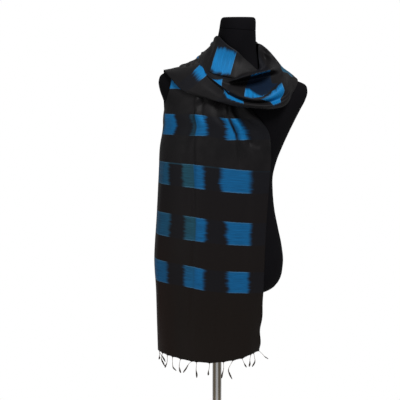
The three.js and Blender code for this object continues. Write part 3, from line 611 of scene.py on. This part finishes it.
def creased(places):
    """The rise of the finer creases at the same places, by how near each route passes, and how much painted
    shade darkens the cloth in their grooves."""
    total, groove_shade = np.zeros(places.shape[:2]), np.zeros(places.shape[:2])
    for crease in CREASES.values():
        route = np.array([net_at(np.array([s]), np.array([t]))[0, 0] for s, t in crease["route"]])
        legs = np.diff(route, axis=0)
        lengths = np.linalg.norm(legs, axis=1)
        begins = np.concatenate([[0], np.cumsum(lengths)])
        best = np.full(places.shape[:2], 1e9)
        gone = np.zeros(places.shape[:2])
        for start, leg, length, begin in zip(route, legs, lengths, begins):
            share = np.clip(((places - start) @ leg) / length**2, 0, 1)
            away = np.linalg.norm(places - start - share[..., None] * leg, axis=-1)
            nearer = away < best
            best = np.where(nearer, away, best)
            gone = np.where(nearer, (begin + share * length) / begins[-1], gone)
        fade = ease(4 * gone + 0.1) * ease(4 - 4 * gone + 0.1)
        total += crease["rise"] * fade * np.exp(-((best / crease["half"]) ** 2))
        groove_shade = np.maximum(groove_shade, crease.get("shades_groove", 0) * fade * np.exp(-((best / GROOVE_HALF) ** 4)))
    return total, groove_shade


# The cloth is woven flat, so each place of the net is some way across the loom's width and some way along
# the length. ACROSS: at a section, (line, millimetres from the neckline selvedge), jumping where a pleat
# hides cloth. Rows with as many pairs pass into each other pair by pair. ALONG: for a length from the front
# hem, where the rows of blocks begin and end, the section that it lies at, as (line, section).
BLOCK_WIDTH, BLOCK_PITCH = 74, 120
ROW_LENGTH, ROW_PITCH, FIRST_ROW = 57, 128, 183
ACROSS = [
  (0.0, ((0, 0), (1.1, 43), (2.5, 117), (4.0, 163), (5.35, 237), (6.55, 283), (8.35, 357), (10, 400))),
  (3.1, ((0, 0), (1.1, 43), (2.5, 117), (4.0, 163), (5.35, 237), (6.55, 283), (8.35, 357), (10, 400))),
  (4.0, ((0, 0), (1.08, 43), (2.75, 117), (3.96, 163), (5.45, 237), (6.45, 283), (8.3, 357), (10, 400))),
  (5.0, ((0, 0), (1.35, 43), (3.4, 117), (4.32, 163), (5.85, 237), (6.82, 283), (8.5, 357), (10, 400))),
  (6.0, ((0, 0), (1.35, 40), (1.8, 50), (1.9, 78), (3.4, 117), (4.5, 163), (5.8, 222), (5.9, 240), (6.95, 283),
    (8.8, 357), (10, 400))),
  (7.2, ((0, 0), (1.4, 36), (2.0, 50), (2.1, 78), (3.22, 117), (4.65, 163), (5.45, 195), (5.85, 238),
    (7.2, 283), (9.0, 357), (10, 400))),
  (8.5, ((0, 0), (1.4, 36), (2.0, 50), (2.1, 78), (3.2, 117), (4.4, 163), (5.8, 210), (6.1, 237), (8.0, 275),
    (10, 345))),
  (9.5, ((0, 0), (1.4, 43), (2.9, 117), (4.4, 163), (5.8, 210), (6.5, 237), (8.5, 280), (10, 345))),
  (13.0, ((0, 0), (2.5, 100), (5, 200), (7.5, 300), (10, 400))),
  (16.0, ((0, 130), (4.2, 163), (8.3, 237), (8.6, 262), (9.8, 280), (10, 400))),
  (17.0, ((0, 132), (4.3, 163), (8.3, 237), (8.6, 262), (9.8, 280), (10, 400))),
  (18.0, ((0, 130), (4.3, 163), (7.5, 237), (8.2, 262), (9.8, 280), (10, 400))),
  (19.0, ((0, 132), (3.8, 155), (4, 163), (5.45, 200), (5.6, 283), (8.0, 357), (10, 400))),
  (20.0, ((0, 132), (3.8, 155), (4, 163), (5.7, 225), (5.85, 283), (8.0, 357), (10, 400))),
  (20.6, ((0, 132), (3.8, 155), (4, 163), (5.95, 230), (6.1, 283), (8.0, 357), (10, 400))),
  (21.2, ((0, 128), (3.8, 155), (4, 163), (6.0, 230), (6.15, 245), (7.0, 279), (7.7, 338), (7.9, 357),
    (10, 400))),
  (22.0, ((0, 100), (3.8, 155), (4, 163), (6.0, 230), (6.15, 245), (7.05, 281), (7.75, 340), (7.9, 357),
    (10, 400))),
  (23.0, ((0, 60), (2, 125), (4, 163), (6.1, 200), (6.4, 250), (7.0, 282), (7.6, 332), (7.8, 357), (10, 400))),
  (24.0, ((0, 37), (0.15, 43), (2, 117), (3.6, 150), (3.95, 163), (6.15, 197), (6.6, 335), (7.3, 357),
    (10, 400))),
  (24.3, ((0, 32), (0.17, 43), (2, 117), (3.6, 150), (4.0, 163), (6.05, 196), (6.3, 320), (7.6, 357),
    (10, 400))),
  (24.68, ((0, 20), (0.25, 43), (2, 117), (5.8, 158), (5.95, 165), (6.0, 168), (6.15, 322), (7.8, 357),
    (10, 400))),
  (25.0, ((0, 8), (0.5, 43), (1.92, 117), (5.6, 155), (5.68, 156), (5.7, 157), (5.85, 325), (7.85, 357),
    (10, 400))),
  (26.0, ((0, 0), (0.6, 43), (2.2, 117), (6.6, 151), (6.65, 152), (6.7, 153), (6.9, 325), (8.1, 357),
    (10, 400))),
  (27.0, ((0, 0), (1, 43), (3, 117), (6.6, 148), (6.65, 149), (6.7, 150), (7.1, 320), (8.1, 357), (10, 400))),
  (27.75, ((0, 0), (1, 43), (3, 117), (6.6, 148), (6.65, 149), (6.7, 150), (7.1, 320), (8.1, 357), (10, 400))),
  (28.5, ((0, 0), (10, 400))),
  (32.0, ((0, 0), (10, 400))),
]
ALONG = [
  (0, ((0, 0), (10, 0))),
  (183, ((0, 2.2), (1, 2.23), (4, 2.3), (5.5, 2.38), (10, 2.36))),
  (240, ((0, 2.93), (1, 2.95), (4, 2.98), (5.4, 3.03), (10, 3.05))),
  (311, ((0, 3.6), (10, 3.62))),
  (368, ((0, 4.12), (6, 4.14), (10, 4.12))),
  (439, ((0, 4.8), (10, 4.75))),
  (496, ((0, 5.45), (4, 5.47), (10, 5.36))),
  (567, ((0, 6.72), (1.75, 6.68), (3.25, 6.6), (4.65, 6.73), (5.75, 6.65), (7, 6.62), (10, 6.5))),
  (624, ((0, 7.78), (2.9, 7.78), (4.5, 7.88), (5.5, 7.92), (7.35, 7.85), (10, 7.78))),
  (695, ((0, 9.1), (6, 9.2), (8, 9.4), (9.4, 9.5), (10, 9.5))),
  (752, ((0, 10.3), (5, 10.4), (7, 10.9), (10, 11.5))),
  (823, ((0, 13.0), (5, 13.2), (10, 13.5))),
  (880, ((0, 13.8), (5, 13.95), (10, 14.1))),
  (951, ((0, 14.5), (5, 14.6), (10, 14.7))),
  (1008, ((0, 15.2), (10, 15.25))),
  (1079, ((0, 15.8), (4, 16.35), (6, 16.8), (10, 16.8))),
  (1136, ((0, 17.0), (4, 17.5), (5.1, 18.0), (6, 17.5), (10, 17.4))),
  (1207, ((0, 18.6), (2, 19.6), (3.9, 19.9), (5.45, 19.9), (5.65, 19.1), (6.5, 19.1), (7, 19.5), (8, 19.55),
    (10, 19.3))),
  (1264, ((0, 21.0), (4, 21.5), (5.5, 22.0), (6.05, 21.9), (6.2, 20.6), (7, 20.1), (8, 19.95), (10, 20.0))),
  (1335, ((0, 23.93), (2, 23.95), (4, 24.28), (6.15, 24.2), (6.6, 22.0), (7.5, 21.75), (8, 21.7), (10, 21.6))),
  (1392, ((0, 25.2), (0.5, 25.12), (2, 24.95), (4, 25.3), (5.7, 25.5), (6.2, 24.4), (6.6, 24.1), (7.2, 23.95),
    (8, 23.8), (10, 23.7))),
  (1463, ((0, 27.65), (4, 27.5), (5.5, 27.4), (5.75, 25.05), (7.85, 25.0), (10, 24.9))),
  (1520, ((0, 28.1), (3.5, 27.95), (4.5, 27.7), (5.4, 27.65), (6.5, 26.4), (6.9, 26.3), (7.05, 26.15),
    (8.1, 25.68), (10, 25.4))),
  (1591, ((0, 28.7), (5.6, 28.4), (6.5, 28.05), (10, 28.0))),
  (1648, ((0, 29.2), (5, 28.9), (10, 28.6))),
  (1719, ((0, 29.8), (5, 29.5), (10, 29.0))),
  (1776, ((0, 30.2), (5, 30.0), (10, 29.6))),
  (1959, ((0, 32), (10, 32))),
]


def loom_place(s, t):
    """Where places of the net were on the loom: across and along, in millimetres."""
    across = np.zeros((len(t), len(s)))
    for number, place in enumerate(t):
        k = max(1, next((j for j, row in enumerate(ACROSS) if row[0] >= place), len(ACROSS) - 1))
        (low, before), (high, after) = ACROSS[k - 1], ACROSS[k]
        f = (place - low) / (high - low)
        if len(before) == len(after):
            moved = np.array(before) * (1 - f) + np.array(after) * f
            across[number] = np.interp(s, moved[:, 0], moved[:, 1])
        else:
            across[number] = np.interp(s, *zip(*before)) * (1 - f) + np.interp(s, *zip(*after)) * f
    lengths = np.array([length for length, _ in ALONG], float)
    cuts = np.array([[np.interp(line, *zip(*row)) for line in s] for _, row in ALONG])
    cuts = np.maximum.accumulate(cuts + 1e-4 * np.arange(len(cuts))[:, None], axis=0)
    along = np.stack([np.interp(t, cuts[:, k], lengths) for k in range(len(s))], axis=1)
    return across, along


# How many rows of the shell's mesh each section of the net gets, up to a section.
SECTION_STEPS = ((5, 22), (9, 18), (13, 9), (27, 14), (32, 18))
wide = 96
lines_at = np.linspace(0, 10, wide + 1)
counts = [next(steps for end, steps in SECTION_STEPS if k < end) for k in range(len(NET) - 1)]
sections_at = np.concatenate([*(np.arange(n) / n + k for k, n in enumerate(counts)), [len(NET) - 1]])
base = net_at(lines_at, sections_at)
S, T = np.meshgrid(lines_at, sections_at)
# the front hem hangs lowest in its middle, is drawn down a little at each tassel, and its selvedge waves
base[..., 2] += np.interp(S, *zip(*HEM)) * ease(1 - T / 1.5)
for row in FRONT_TASSELS:
    base[..., 2] -= 1.8 * np.exp(-(((S / 10 - row["at"]) * CLOTH_WIDTH / 4) ** 2)) * ease(1 - T / 0.12)
# by the right shoulder the neckline selvedge rides up against the neck
base[..., 2] += 11 * ease(1 - S / 1.8) * ease(1 - np.abs(T - 25.6) / 1.3)
# and behind that shoulder's ridge the cloth sinks, most at its outer corner
base[..., 2] -= 6 * ease(1 - np.abs(T - 27.6) / 0.6) * ease(1 - np.abs(S - 4.8) / 2.4)
base[..., 2] -= 9 * ease(1 - np.abs(T - 27) / 1.4) * ease((S - 7) / 3)
base[..., 0] += 2.2 * np.sin(5.5 * T) * ease(1 - S / 0.5) * ease((2.6 - T) / 2) * ease(4 * T)
crease_rise, groove_shade = creased(base)
raised = base + out_of_cloth(base) * (pressed(S, T) + crease_rise + gathered(S, T))[..., None]
k = np.clip(np.floor(sections_at).astype(int), 0, len(NET) - 2)
part_way = (sections_at - k)[:, None]
outer = ease(lines_at / 4 - 1.5)[None, :]
gap_rows = [NET_GAP[j][:, None] * (1 - outer) + NET_EDGE[j][:, None] * outer for j in (k, k + 1)]
gap = gap_rows[0] * (1 - part_way) + gap_rows[1] * part_way
pushed = clear_of_form(raised, gap) - raised
# the cloth is too stiff to follow the form's small hollows: its push off the form is evened out
for axis, near in ((0, 5), (1, 2)):
    window = 2 * near + 1
    padded = np.pad(pushed, [(near, near) if a == axis else (0, 0) for a in range(3)], mode="edge")
    sums = np.cumsum(np.insert(padded, 0, 0, axis=axis), axis=axis)
    count = pushed.shape[axis]
    pushed = (np.take(sums, range(window, window + count), axis) - np.take(sums, range(count), axis)) / window
cloth = clear_of_form(raised + pushed, gap)
long = len(sections_at)
faces = [
    (i * (wide + 1) + j, i * (wide + 1) + j + 1, (i + 1) * (wide + 1) + j + 1, (i + 1) * (wide + 1) + j)
    for i in range(long - 1) for j in range(wide)
]
mesh = bpy.data.meshes.new("silk_scarf")
mesh.from_pydata((cloth.reshape(-1, 3) * MM).tolist(), [], [face[::-1] for face in faces])
across, along = loom_place(lines_at, sections_at)
loom = mesh.uv_layers.new(name="loom")
corner = np.zeros(len(mesh.loops), int)
mesh.loops.foreach_get("vertex_index", corner)
places = np.stack([across.ravel()[corner], along.ravel()[corner]], 1) * MM
loom.data.foreach_set("uv", places.ravel())
# painted shade in tight folds, where a fold swallows cloth: loom width that passes much faster than the shell's
apart = np.linalg.norm(np.diff(cloth, axis=1), axis=-1)
fold_shade_share = np.clip(np.abs(np.diff(across, axis=1)) / apart / 4 - 2, 0, 1)
fold_shade_share = np.maximum(np.pad(fold_shade_share, ((0, 0), (0, 1))), np.pad(fold_shade_share, ((0, 0), (1, 0))))
fold_shade_share = np.maximum(fold_shade_share, groove_shade)
painted_shade_in_folds = mesh.attributes.new("painted_shade_in_folds", "FLOAT", "POINT")
painted_shade_in_folds.data.foreach_set("value", fold_shade_share.ravel())
scarf = bpy.data.objects.new("silk_scarf", mesh)
bpy.context.collection.objects.link(scarf)
bpy.ops.object.select_all(action="DESELECT")
bpy.context.view_layer.objects.active = scarf
scarf.select_set(True)
thick = scarf.modifiers.new("cloth thickness", "SOLIDIFY")
thick.thickness, thick.offset = CLOTH_THICKNESS * MM, 0.0
bpy.ops.object.modifier_apply(modifier=thick.name)
bpy.ops.object.shade_smooth()


def silk_material():
    """Warp-black silk with weft-dyed blue blocks: ragged where the dye crept along the weft, sharp along
    the rows. The loom map's first number runs across the cloth and its second along it, in metres."""
    material, tree, shader = new_material("ikat_silk")

    def times(product, *more):
        for value in more:
            product = calc(tree, "MULTIPLY", product, value)
        return product

    def less(a, b):
        return calc(tree, "SUBTRACT", a, b)

    def noise(x, y, detail=2.0):
        spot = node(tree, "ShaderNodeCombineXYZ", inputs={"X": x, "Y": y}).outputs[0]
        return node(tree, "ShaderNodeTexNoise", noise_dimensions="2D", inputs={
            "Vector": spot, "Scale": 1.0, "Detail": detail, "Roughness": 0.6,
        }).outputs["Fac"]

    def between(value, *run):
        return spread(tree, value, *run)

    def stretch(value, rise, fall):
        """A stretch of the cloth, from the run that it rises over and the run that it falls over."""
        return times(between(value, *rise), between(value, *fall))

    def from_middle(value, start, pitch):
        """How far a value is from the middle of its repeat."""
        return calc(tree, "ABSOLUTE", less(calc(tree, "FLOORED_MODULO", less(value, start), pitch), pitch / 2))

    loom_map = node(tree, "ShaderNodeUVMap", uv_map="loom").outputs["UV"]
    loom_parts = node(tree, "ShaderNodeSeparateXYZ", inputs={"Vector": loom_map}).outputs
    u, v = (times(loom_parts[axis], 1 / MM) for axis in "XY")

    # three blocks across and thirteen rows of them along
    column = from_middle(u, (CLOTH_WIDTH - 3 * BLOCK_PITCH) / 2, BLOCK_PITCH)
    row = from_middle(v, FIRST_ROW + (ROW_LENGTH - ROW_PITCH) / 2, ROW_PITCH)
    picks = noise(times(u, 0.02), times(v, 0.7), 3.0)
    bundles = noise(times(u, 0.012), times(v, 0.13), 1.0)
    creep = calc(tree, "ADD", times(less(picks, 0.5), 15.0), times(less(bundles, 0.5), 11.0))
    in_column = calc(tree, "ADD", less(BLOCK_WIDTH / 2, column), creep)
    inside_column = spread(tree, in_column, -5.0, 10.5, interpolation_type="SMOOTHSTEP")
    waver = times(less(noise(times(u, 0.15), 3.0), 0.5), 2.0)
    in_row = calc(tree, "ADD", less(ROW_LENGTH / 2, row), waver)
    inside_row = between(in_row, -0.5, 0.7)
    edge_pick = less(inside_row, between(in_row, 1.0, 2.4))
    in_field = stretch(v, (150.0, 151.0), (1800.0, 1799.0))
    block = times(inside_column, stretch(u, (22.0, 34.0), (378.0, 366.0)), inside_row, in_field)

    # the dye, with painted shade: a darker blue low on the cloth towards the front hem, where less light falls,
    # and a dull teal of painted shade and sheen where the cloth turns from the light
    streak = noise(times(u, 0.02), times(v, 0.6), 4.0)
    cloudy = noise(times(u, 0.03), times(v, 0.025), 2.0)
    fresh, shaded_blue, shade_teal = (mix(tree, between(streak, 0.3, 0.7), low, high) for low, high in (
        ((0.0030, 0.115, 0.290), (0.0045, 0.155, 0.400)),
        ((0.0030, 0.068, 0.175), (0.0045, 0.100, 0.260)),
        ((0.0080, 0.042, 0.064), (0.0120, 0.066, 0.102)),
    ))
    # painted shade: the blocks darken towards the front hem, low on the cloth, where less light falls
    low_painted_shade = between(calc(tree, "ADD", v, times(cloudy, 40.0)), 660.0, 530.0)
    # painted shade and sheen: a dull teal down the outer half low on the front, over the shoulder, and in the
    # chest row behind the crease and at its side end
    outer_half = stretch(u, (195.0, 200.0), (250.0, 300.0, 1.0, 0.62))
    lower_rows = stretch(v, (520.0, 505.0), (200.0, 330.0, 0.25, 1.0))
    over_shoulder = stretch(v, (1060.0, 1070.0), (1150.0, 1140.0, 0.0, 0.9))
    chest_row = stretch(v, (556.0, 562.0), (632.0, 626.0))
    behind_crease = stretch(u, (199.0, 206.0), (255.0, 245.0, 0.0, 0.95))
    side_end = between(u, 334.0, 352.0, 0.0, 0.75)
    teal_shade_share = times(chest_row, calc(tree, "MAXIMUM", behind_crease, side_end))
    for part in (times(outer_half, lower_rows), over_shoulder):
        teal_shade_share = calc(tree, "MAXIMUM", teal_shade_share, part)
    dyed = mix(tree, teal_shade_share, mix(tree, low_painted_shade, fresh, shaded_blue), shade_teal)
    # painted shadow: one block of the cowl, in the pocket under the lip, is painted dark navy for the lip's
    # shadow, but for its ends
    corner = calc(tree, "ADD", u, calc(tree, "MINIMUM", times(less(v, 1255.0), 0.9), 0.0))
    pocket_shadow_across = times(between(u, 169.0, 179.0), between(corner, 217.0, 212.0))
    pocket_shadow = times(pocket_shadow_across, stretch(v, (1195.0, 1205.0), (1276.0, 1266.0)), 0.97)
    dyed = mix(tree, pocket_shadow, dyed, (0.0030, 0.0052, 0.0130))
    dyed = mix(tree, times(edge_pick, less(0.45, times(pocket_shadow, 0.45))), dyed, (0.07, 0.19, 0.30))

    # the ground: near black, browner towards the hem, bluer in the bands where dyed weft runs between blocks
    plain = mix(tree, between(cloudy, 0.3, 0.7), (0.0060, 0.0056, 0.0062), (0.0086, 0.0080, 0.0086))
    plain = mix(tree, between(v, 540.0, 440.0), plain, (0.0062, 0.0050, 0.0055))
    brown = mix(tree, between(u, 250.0, 400.0), (0.0072, 0.0048, 0.0037), (0.0150, 0.0046, 0.0016))
    ground = mix(tree, between(v, 420.0, 120.0), plain, brown)
    band = mix(tree, times(inside_row, in_field, 0.6), ground, (0.0050, 0.0056, 0.0085))
    first_picks = times(stretch(v, (492.4, 493.4), (496.6, 495.6)), between(u, 90.0, 330.0, 0.05, 0.75))
    band = mix(tree, first_picks, band, (0.012, 0.060, 0.095))
    # painted shade in tight folds and crease grooves, carried on the mesh, darkens the blocks
    painted_shade_in_folds = node(tree, "ShaderNodeAttribute", attribute_name="painted_shade_in_folds").outputs["Fac"]
    # painted shade behind the chest crease: the blocks there are darkened
    shade = less(1.0, times(chest_row, behind_crease, 0.55))
    shown = times(block, between(streak, 0.2, 0.8, 0.8, 1.0), shade, less(1.0, painted_shade_in_folds))

    # plain weave and slubs
    weave = times(calc(tree, "SINE", times(u, 11.0)), calc(tree, "SINE", times(v, 9.0)))
    slub = noise(times(u, 0.05), times(v, 1.6), 3.0)
    plug(tree, shader, {
        "Base Color": mix(tree, shown, band, dyed),
        "Roughness": between(slub, 0.3, 0.7, 0.46, 0.6),
        "Normal": bump(tree, slub, 0.2, 0.0003, Normal=bump(tree, weave, 0.12, 0.0002)),
        "Specular IOR Level": 0.10,
    })
    return material


scarf.data.materials.append(silk_material())
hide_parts("scarf_front_end", "scarf_nape_wrap", "scarf_cowl", "scarf_back_end")
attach(scarf, "root")

# ---- fringes ----
# The warp ends left long at both hems, knotted into thin twisted threads with fuller, darker tips. They are
# caught in the hem's last pick.

# Half a thread's thickness, down its length: a slack twist, then the wrapped tip.
THREAD = (
  (0.0, 0.9), (0.12, 0.7), (0.3, 0.6), (0.46, 0.65), (0.52, 1.3), (0.6, 1.9), (0.8, 2.0), (0.95, 1.6),
  (1.0, 0.8),
)
TIP_FROM = 0.5
SIDES = 8


def tassels(name, hem, rows):
    """Threads hanging from a hem, each a tapering twisted strand of eight sides with closed ends."""
    made = bmesh.new()
    shade = made.loops.layers.color.new("tip")
    for number, row in enumerate(rows):
        x, y, z = hem(row["at"])
        rings = []
        stations = np.linspace(0, 1, 25)
        for down in stations:
            half = float(np.interp(down, *zip(*THREAD)))
            knots = ((0, row["elbow"][a], row["tip"][a]) for a in (0, 1))
            run, fall = (0.54 * sum(np.interp(down + d, (0, 0.5, 1), k) for d in (-0.07, 0.07)) for k in knots)
            cx = x + run + 0.5 * math.sin(9 * down + number)
            cz = z + 1.5 * (1 - down) + fall
            cy = y + 0.6 * math.sin(7 * down + 2 * number)
            ring = []
            for side in range(SIDES):
                turn = 2 * math.pi * side / SIDES + 5 * down
                r = half * (1 + 0.22 * math.cos(2 * (turn + 8 * down)))
                spot = (cx + r * math.cos(turn), cy + r * math.sin(turn), cz)
                ring.append(made.verts.new([value * MM for value in spot]))
            rings.append(ring)
        for ring, lower, down in zip(rings, rings[1:], stations):
            for side in range(SIDES):
                after = (side + 1) % SIDES
                face = made.faces.new((ring[side], lower[side], lower[after], ring[after]))
                for loop in face.loops:
                    loop[shade] = (1, 1, 1, 1) if down > TIP_FROM else (0, 0, 0, 1)
        made.faces.new(rings[0])
        made.faces.new(rings[-1][::-1])
    bmesh.ops.recalc_face_normals(made, faces=made.faces)
    data = bpy.data.meshes.new(name)
    made.to_mesh(data)
    made.free()
    piece = bpy.data.objects.new(name, data)
    bpy.context.collection.objects.link(piece)
    for face in data.polygons:
        face.use_smooth = True
    return piece


def yarn_material():
    """Twisted silk: pale brown where the thread is bare, near black at the wrapped tips."""
    material, tree, shader = new_material("fringe_yarn")
    place = node(tree, "ShaderNodeTexCoord").outputs["Object"]
    tip = node(tree, "ShaderNodeVertexColor", layer_name="tip").outputs["Color"]
    twist = node(tree, "ShaderNodeTexWave", bands_direction="DIAGONAL", inputs={
        "Vector": place, "Scale": 260.0, "Distortion": 1.5, "Detail": 1.0,
    }).outputs["Fac"]
    bare = mix(tree, twist, (0.05, 0.035, 0.028), (0.22, 0.17, 0.13))
    wrapped = mix(tree, twist, (0.012, 0.010, 0.008), (0.05, 0.035, 0.022))
    plug(tree, shader, {
        "Base Color": mix(tree, tip, bare, wrapped), "Normal": bump(tree, twist, 0.5, 0.0003),
        "Roughness": 0.6, "Specular IOR Level": 0.3,
    })
    return material


yarn = yarn_material()
for name, edge, rows, solid in (
    ("front_tassels", cloth[0], FRONT_TASSELS, "front_fringe"),
    ("back_tassels", cloth[-1], BACK_TASSELS, "back_fringe"),
):
    fringe = tassels(name, lambda at, e=edge: [np.interp(10 * at, lines_at, e[:, a]) for a in range(3)], rows)
    fringe.data.materials.append(yarn)
    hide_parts(solid)
    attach(fringe, "root")

# ---- camera, floor and light ----
# A plain pale floor and a white room, with one large soft light from the front right and a weaker one from
# the left. The camera stands in front of the form and looks a little down.
bpy.ops.object.select_all(action="DESELECT")
bpy.ops.mesh.primitive_plane_add(size=2.6, location=(0, 0, -0.0005))
floor = bpy.context.object
floor.name = "floor"
paper, paper_tree, paper_shader = new_material("pale_floor")
plug(paper_tree, paper_shader, {"Base Color": (0.86, 0.86, 0.86, 1), "Roughness": 0.7})
floor.data.materials.append(paper)


def soft_light(name, place, aim, size, power, colour=(1, 1, 1)):
    data = bpy.data.lights.new(name, "AREA")
    data.shape, data.size, data.size_y, data.energy, data.color = "RECTANGLE", size[0], size[1], power, colour
    lamp = bpy.data.objects.new(name, data)
    bpy.context.collection.objects.link(lamp)
    lamp.location = place
    way = np.array(aim) - np.array(place)
    lamp.rotation_euler = (math.atan2(math.hypot(way[0], way[1]), -way[2]), 0, math.atan2(-way[0], way[1]))
    return lamp


soft_light("key", (1.0, -1.9, 3.5), (0, 0, 1.15), (1.1, 1.1), 105)
soft_light("fill", (-2.2, -1.8, 1.6), (0, 0, 1.1), (1.6, 2.0), 19)
world = bpy.data.worlds.new("white room")
bpy.context.scene.world = world
world.use_nodes = True
sky = world.node_tree
behind = sky.nodes["Background"]
behind.inputs["Color"].default_value = (1, 1, 1, 1)
behind.inputs["Strength"].default_value = 0.33
seen = node(sky, "ShaderNodeBackground", inputs={"Color": (1, 1, 1, 1), "Strength": 1.0})
path = node(sky, "ShaderNodeLightPath")
join = node(sky, "ShaderNodeMixShader", inputs={
    0: path.outputs["Is Camera Ray"], 1: behind.outputs[0], 2: seen.outputs[0],
})
sky.links.new(join.outputs[0], sky.nodes["World Output"].inputs["Surface"])
bpy.context.scene.view_settings.view_transform = "Standard"

FRAME_WIDTH = 36
FOCAL_RATIO = 2.61
LOOKING_DOWN = 8.552
camera_data = bpy.data.cameras.new("camera")
camera_data.sensor_width = FRAME_WIDTH
camera_data.lens = FOCAL_RATIO * FRAME_WIDTH
camera = bpy.data.objects.new("camera", camera_data)
bpy.context.collection.objects.link(camera)
camera.location = (-0.0455, -2.7, 1.4324)
camera.rotation_euler = (math.radians(90 - LOOKING_DOWN), 0, 0)
bpy.context.scene.camera = camera
